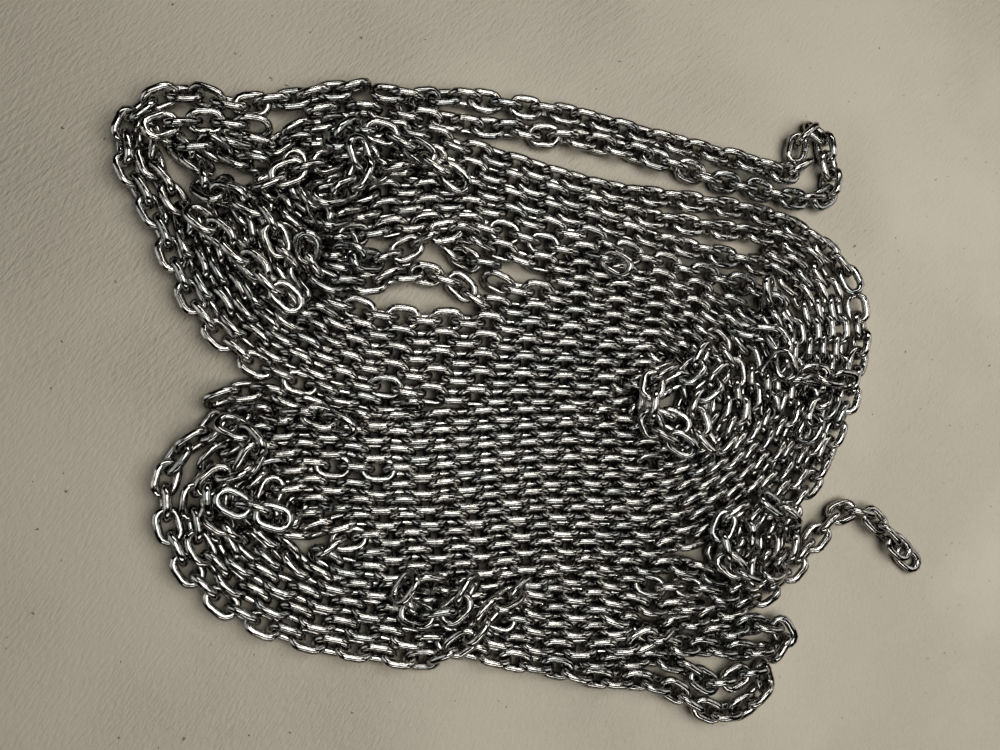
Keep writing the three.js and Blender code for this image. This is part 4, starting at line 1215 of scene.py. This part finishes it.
@dataclass(frozen=True)
class LinkMesh:
    """Rings of wire set on points by a node tree, so that a stretch of chain is one mesh."""

    link: LinkSizes
    steel: bpy.types.Material
    bow_steps: int = 6
    wire_sides: int = 8
    weld_swell: float = 1.08
    weld_half: float = 1.5

    def make_tree(self) -> bpy.types.GeometryNodeTree:
        """Builds the node tree: a link's wire along its middle line, set on each point and turned.

        Returns:
            The tree, whose inputs are the points and the sizes of a link in metres.
        """
        group = bpy.data.node_groups.new("links_on_points", "GeometryNodeTree")
        face = group.interface
        face.new_socket("Geometry", in_out="INPUT", socket_type="NodeSocketGeometry")
        for name in ("Wire", "Bow Radius", "Half Bar", "Weld Swell", "Weld Half"):
            face.new_socket(name, in_out="INPUT", socket_type="NodeSocketFloat")
        for name in ("Bow Steps", "Wire Sides"):
            face.new_socket(name, in_out="INPUT", socket_type="NodeSocketInt")
        face.new_socket("Geometry", in_out="OUTPUT", socket_type="NodeSocketGeometry")
        tree = Tree(group)
        entry = group.nodes.new("NodeGroupInput")
        given = {socket.name: Socket(tree, socket) for socket in entry.outputs if socket.name}

        def maths(operation: str, *values: Value) -> Socket:
            """Adds a Math node."""
            return tree.add("ShaderNodeMath", {"operation": operation}, dict(enumerate(values)))

        per_bow = given["Bow Steps"] + 1.0
        index = tree.add("GeometryNodeInputIndex")
        bow = maths("FLOOR", index / per_bow)
        step = index - bow * per_bow
        angle = (step / given["Bow Steps"] - 0.5) * math.pi
        end = 1.0 - bow * 2.0
        on_bow_x = end * (maths("COSINE", angle) * given["Bow Radius"] + given["Half Bar"])
        on_bow_y = end * maths("SINE", angle) * given["Bow Radius"]
        at_weld = index > per_bow * 2.0 - 0.5
        weld_step = index - per_bow * 2.0 - 1.0
        weld_x = weld_step * given["Weld Half"]
        x = on_bow_x + at_weld * (weld_x - on_bow_x)
        y = on_bow_y + at_weld * (given["Bow Radius"] * -1.0 - on_bow_y)
        swell = at_weld * (1.0 - abs(weld_step)) * (given["Weld Swell"] - 1.0) + 1.0
        line = tree.add("GeometryNodeMeshLine", None, {"Count": per_bow * 2.0 + 3.0})
        spot = tree.add("ShaderNodeCombineXYZ", None, {"X": x, "Y": y})
        placed = tree.add("GeometryNodeSetPosition", None, {"Geometry": line, "Position": spot})
        curve = tree.add("GeometryNodeMeshToCurve", None, {0: placed})
        closed = tree.add("GeometryNodeSetSplineCyclic", None, {0: curve, "Cyclic": True})
        swollen = tree.add("GeometryNodeSetCurveRadius", None, {0: closed, "Radius": swell})
        from_weld = tree.add("GeometryNodeSwitch", {"input_type": "FLOAT"},
                             {0: at_weld, 1: 1.0, 2: abs(weld_x)})
        marked = tree.add("GeometryNodeStoreNamedAttribute", {"data_type": "FLOAT", "domain": "POINT"},
                          {0: swollen, "Name": Attribute.ALONG.value, "Value": from_weld})
        wire = tree.add("GeometryNodeCurvePrimitiveCircle", None,
                        {"Resolution": given["Wire Sides"], "Radius": given["Wire"] * 0.5})
        link = tree.add("GeometryNodeCurveToMesh", None, {0: marked, 1: wire})
        turn = tree.add("GeometryNodeInputNamedAttribute", {"data_type": "FLOAT_VECTOR"},
                        {"Name": Attribute.TURN.value})
        copies = tree.add("GeometryNodeInstanceOnPoints", None,
                          {0: given["Geometry"], "Instance": link, "Rotation": turn})
        real = tree.add("GeometryNodeRealizeInstances", None, {0: copies})
        smooth = tree.add("GeometryNodeSetShadeSmooth", None, {0: real})
        coated = tree.add("GeometryNodeSetMaterial", None, {0: smooth, "Material": self.steel})
        tree.add("NodeGroupOutput", None, {0: coated})
        return group

    def make(self, name: str, tree: bpy.types.GeometryNodeTree, centres: np.ndarray,
             turns: np.ndarray, tones: np.ndarray) -> bpy.types.Object:
        """Makes one stretch of chain.

        Args:
            name: The piece's name.
            tree: The node tree that sets the links.
            centres: The links' middles, in metres.
            turns: The links' turns, as Euler angles.
            tones: A number for each link, for its colour.

        Returns:
            The stretch, as a plain mesh.
        """
        points = bpy.data.meshes.new(name + "_points")
        points.from_pydata(centres.tolist(), [], [])
        turn = points.attributes.new(Attribute.TURN.value, "FLOAT_VECTOR", "POINT")
        turn.data.foreach_set("vector", turns.astype(np.float32).ravel())
        tone = points.attributes.new(Attribute.TONE.value, "FLOAT", "POINT")
        tone.data.foreach_set("value", tones.astype(np.float32))
        source = add_object(name + "_points", points)
        modifier = source.modifiers.new("links", "NODES")
        modifier.node_group = tree
        sizes = {
            "Wire": self.link.wire * MM, "Bow Radius": self.link.bow_radius * MM,
            "Half Bar": self.link.half_bar * MM, "Weld Swell": self.weld_swell,
            "Weld Half": self.weld_half * MM, "Bow Steps": self.bow_steps, "Wire Sides": self.wire_sides,
        }
        for item in tree.interface.items_tree:
            if item.in_out == "INPUT" and item.name in sizes:
                modifier[item.identifier] = sizes[item.name]
        view = bpy.context.evaluated_depsgraph_get()
        mesh = bpy.data.meshes.new_from_object(source.evaluated_get(view), depsgraph=view)
        mesh.name = name
        bpy.data.objects.remove(source)
        bpy.data.meshes.remove(points)
        return add_object(name, mesh)


@dataclass
class ChainHeap:
    """The heap: its rows, its links and the pieces that stand for the solids."""

    link: LinkSizes
    shown: LinkSizes
    view: FloorView
    steel: PolishedSteel
    lean: float = math.radians(45)
    lean_spread: float = math.radians(11)
    loose_spread: float = math.radians(24)
    loose_layer: int = 6
    open_lean: float = math.radians(40)
    neighbour_reach: float = 29.0
    crowd_limits: tuple[float, float] = (1.0, 4.5)
    lean_noise: float = 0.4
    lean_drift: float = 0.8
    links_per_drift: int = 5
    links_per_roll: int = 21
    end_seat: float = 0.35
    end_slack: float = 1.0
    end_layer: int = 9
    end_lean: float = math.radians(6)
    seed: int = 11

    def lay(self) -> None:
        """Lays the rows and works out where they lie in the frame."""
        self.rows = RowLayout(self.link, self.view)
        self.rows.settle()
        last = len(self.rows.place) - 1
        way = self.rows.place[last] - self.rows.place[last - 1]
        way[2] = 0.0
        way = unit(way)
        reach = self.end_seat + self.link.half_bar + self.link.bow_radius + self.link.wire / 2
        ring = self.rows.place[last] + way * reach
        low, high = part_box("end_link")
        middle = (np.array(low) + np.array(high)) / 2 / MM
        self.shift = np.array((middle[0] - ring[0], middle[1] - ring[1], 0.0))
        self.end_way = way
        self.end_place = self.rows.place[last] + way * (self.link.pitch - self.end_slack)

    def openness(self) -> np.ndarray:
        """Works out how free each link lies.

        Returns:
            For each link 1 with hardly a neighbour, 0 in the thick of the heap.
        """
        rows = self.rows
        flat = rows.place[:, :2]
        near = np.linalg.norm(flat[:, None] - flat[None], axis=2) < self.neighbour_reach
        same = rows.chain[:, None] == rows.chain[None]
        close = np.abs(rows.order[:, None] - rows.order[None]) <= 2
        crowd = (near & ~(same & close)).sum(axis=1)
        few, many = self.crowd_limits
        return np.clip((many - crowd) / (many - few), 0.0, 1.0)

    def place_links(self) -> tuple[np.ndarray, np.ndarray]:
        """Gives each link its middle and its lean, to the left and to the right in turn.

        A row that lies free rolls over until one link lies flat and the next stands on edge.

        Returns:
            The middles, and the links' own axes.
        """
        rows, rng = self.rows, np.random.default_rng(self.seed)
        raise_by = self.shown.resting_height - rows.floor_centre
        centres = np.vstack((rows.place, self.end_place)) + np.array((0.0, 0.0, raise_by))
        centres[-1, 2] = self.shown.wire / 2
        ways = unit(rows.place[rows.after] - rows.place[rows.before])
        ways = np.vstack((ways, self.end_way))
        count = len(centres)
        noise = rng.normal(size=count)
        even = np.ones(self.links_per_drift) / self.links_per_drift ** 0.5
        drift = np.convolve(rng.normal(size=count), even, mode="same")
        loose = np.append(rows.layer, self.end_layer) >= self.loose_layer
        spread = np.where(loose, self.loose_spread, self.lean_spread)
        order = np.append(rows.order, rows.order[-1] + 1)
        lean = np.where(order % 2 == 0, self.lean, -self.lean)
        lean = lean + spread * (self.lean_noise * noise + self.lean_drift * drift)
        roll = np.convolve(rng.normal(size=count), np.ones(self.links_per_roll), mode="same")
        lean[:-1] += self.open_lean * self.openness() * np.sign(roll)[:-1]
        lean[-1] = self.end_lean
        side = unit(np.cross(ways, UP))
        top = np.cross(side, ways)
        across = side * np.cos(lean)[:, None] + top * np.sin(lean)[:, None]
        turns = np.stack((ways, across, np.cross(ways, across)), axis=2)
        return centres, turns

    def make(self) -> list[bpy.types.Object]:
        """Builds the pieces and names the solids that they stand for.

        Returns:
            The pieces.
        """
        centres, turns = self.place_links()
        pile = LinkPile(self.shown)
        pile.set_links(centres, turns)
        left = pile.settle()
        log.info("links at rest, deepest overlap %.2f mm", left)
        centres = (pile.centre + self.shift) * MM
        angles = np.array([Matrix(turn).to_euler("XYZ")[:] for turn in pile.turn])
        tones = np.random.default_rng(self.seed + 1).random(len(centres))
        maker = LinkMesh(self.shown, self.steel.make())
        tree = maker.make_tree()
        stretches = self.rows.cut()
        stretches["end_link"] = np.array([len(centres) - 1])
        pieces = []
        for name, index in stretches.items():
            piece = maker.make(name + "_links", tree, centres[index], angles[index], tones[index])
            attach(piece, BODY)
            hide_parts(name)
            pieces.append(piece)
            log.info("%s: %d links, %d faces", piece.name, len(index), len(piece.data.polygons))
        bpy.data.node_groups.remove(tree)
        return pieces


@dataclass(frozen=True)
class Backdrop:
    """A plain pale backdrop all round, which only the camera sees."""

    name: str = "backdrop"
    tone: tuple = (0.30, 0.283, 0.243, 1.0)
    half_width: float = 6.0

    def make(self) -> bpy.types.Object:
        """Sets up the backdrop as a large closed box.

        Returns:
            The backdrop.
        """
        material, tree = new_material(self.name)
        glow = tree.add("ShaderNodeEmission", None, {"Color": self.tone})
        tree.add("ShaderNodeOutputMaterial", None, {"Surface": glow})
        mesh = bpy.data.meshes.new(self.name)
        box = bmesh.new()
        bmesh.ops.create_cube(box, size=2 * self.half_width)
        bmesh.ops.reverse_faces(box, faces=box.faces)
        box.to_mesh(mesh)
        box.free()
        mesh.materials.append(material)
        backdrop = add_object(self.name, mesh)
        backdrop.visible_diffuse = backdrop.visible_glossy = backdrop.visible_shadow = False
        return backdrop


@dataclass(frozen=True)
class Lamp:
    """A soft lamp: where it hangs over the heap, its size in metres, its power and its colour.

    A lamp may light the floor, show as a gleam in the steel, or do both.
    """

    name: str
    place: tuple[float, float, float]
    size: tuple[float, float]
    power: float
    colour: tuple[float, float, float]
    on_floor: bool = False
    in_steel: bool = True
    aim: tuple[float, float, float] = (0.0, 0.0, 0.0)

    def make(self) -> bpy.types.Object:
        """Hangs the lamp.

        Returns:
            The lamp.
        """
        light = bpy.data.lights.new(self.name, "AREA")
        light.shape = "RECTANGLE"
        light.size, light.size_y = self.size
        light.energy = self.power
        light.color = self.colour
        lamp = add_object(self.name, light)
        way = Vector(self.aim) - Vector(self.place)
        lamp.rotation_euler = way.to_track_quat("-Z", "Y").to_euler()
        lamp.location = self.place
        lamp.visible_camera = False
        lamp.visible_diffuse = self.on_floor
        lamp.visible_glossy = self.in_steel
        return lamp


@dataclass(frozen=True)
class Studio:
    """The lamps, the light from all round and the camera."""

    view: FloorView
    lamps: tuple[Lamp, ...] = (
        Lamp("ceiling", (0.75, 0.0, 1.9), (2.2, 2.2), 87.0, (1.0, 0.965, 0.90), True, False),
        Lamp("window", (0.1, 0.35, 1.6), (0.3, 0.2), 4.6, (1.0, 0.985, 0.95)),
        Lamp("sky", (0.0, 0.0, 1.9), (1.6, 1.0), 17.0, (1.0, 0.985, 0.95)),
        Lamp("left_side", (-1.5, 0.0, 0.7), (1.0, 1.4), 4.0, (0.98, 0.99, 1.0)),
        Lamp("right_side", (1.5, 0.2, 0.8), (1.0, 1.4), 5.0, (1.0, 0.985, 0.95)),
        Lamp("far_side", (0.2, 1.2, 1.2), (1.8, 0.25), 8.0, (1.0, 0.985, 0.95)),
        Lamp("near_side", (0.0, -1.3, 1.0), (1.8, 0.3), 6.0, (1.0, 0.985, 0.95)),
    )
    surround: tuple = (1.0, 0.97, 0.92, 1.0)
    surround_strength: float = 0.003
    sensor: float = 36.0
    contrast: str = "Medium High Contrast"

    def make(self, shift: np.ndarray) -> None:
        """Lights the scene and sets up the camera.

        Args:
            shift: From the place where the chain is laid to the frame, in millimetres.
        """
        for lamp in self.lamps:
            lamp.make()
        world = bpy.data.worlds.new("surround")
        world.use_nodes = True
        tree = Tree(world.node_tree)
        background = tree.add("ShaderNodeBackground", None,
                              {"Color": self.surround, "Strength": self.surround_strength})
        tree.add("ShaderNodeOutputWorld", None, {"Surface": background})
        scene = bpy.context.scene
        scene.world = world
        scene.view_settings.view_transform = "Standard"
        scene.view_settings.look = self.contrast
        data = bpy.data.cameras.new("camera")
        data.sensor_width = self.sensor
        data.lens = self.sensor * self.view.focal / self.view.width
        camera = add_object("camera", data)
        camera.matrix_world = self.view.camera_matrix(shift)
        scene.camera = camera


def main() -> None:
    """Builds the heap, the floor, the lights and the camera."""
    logging.basicConfig(level=logging.INFO, format="%(message)s")
    view = FloorView()
    heap = ChainHeap(LinkSizes(), LinkSizes(wire=DRAWN_WIRE), view, PolishedSteel())
    heap.lay()
    Studio(view).make(heap.shift)
    heap.make()
    PaintedFloor().make()
    Backdrop().make()


if __name__ == "__main__":
    main()
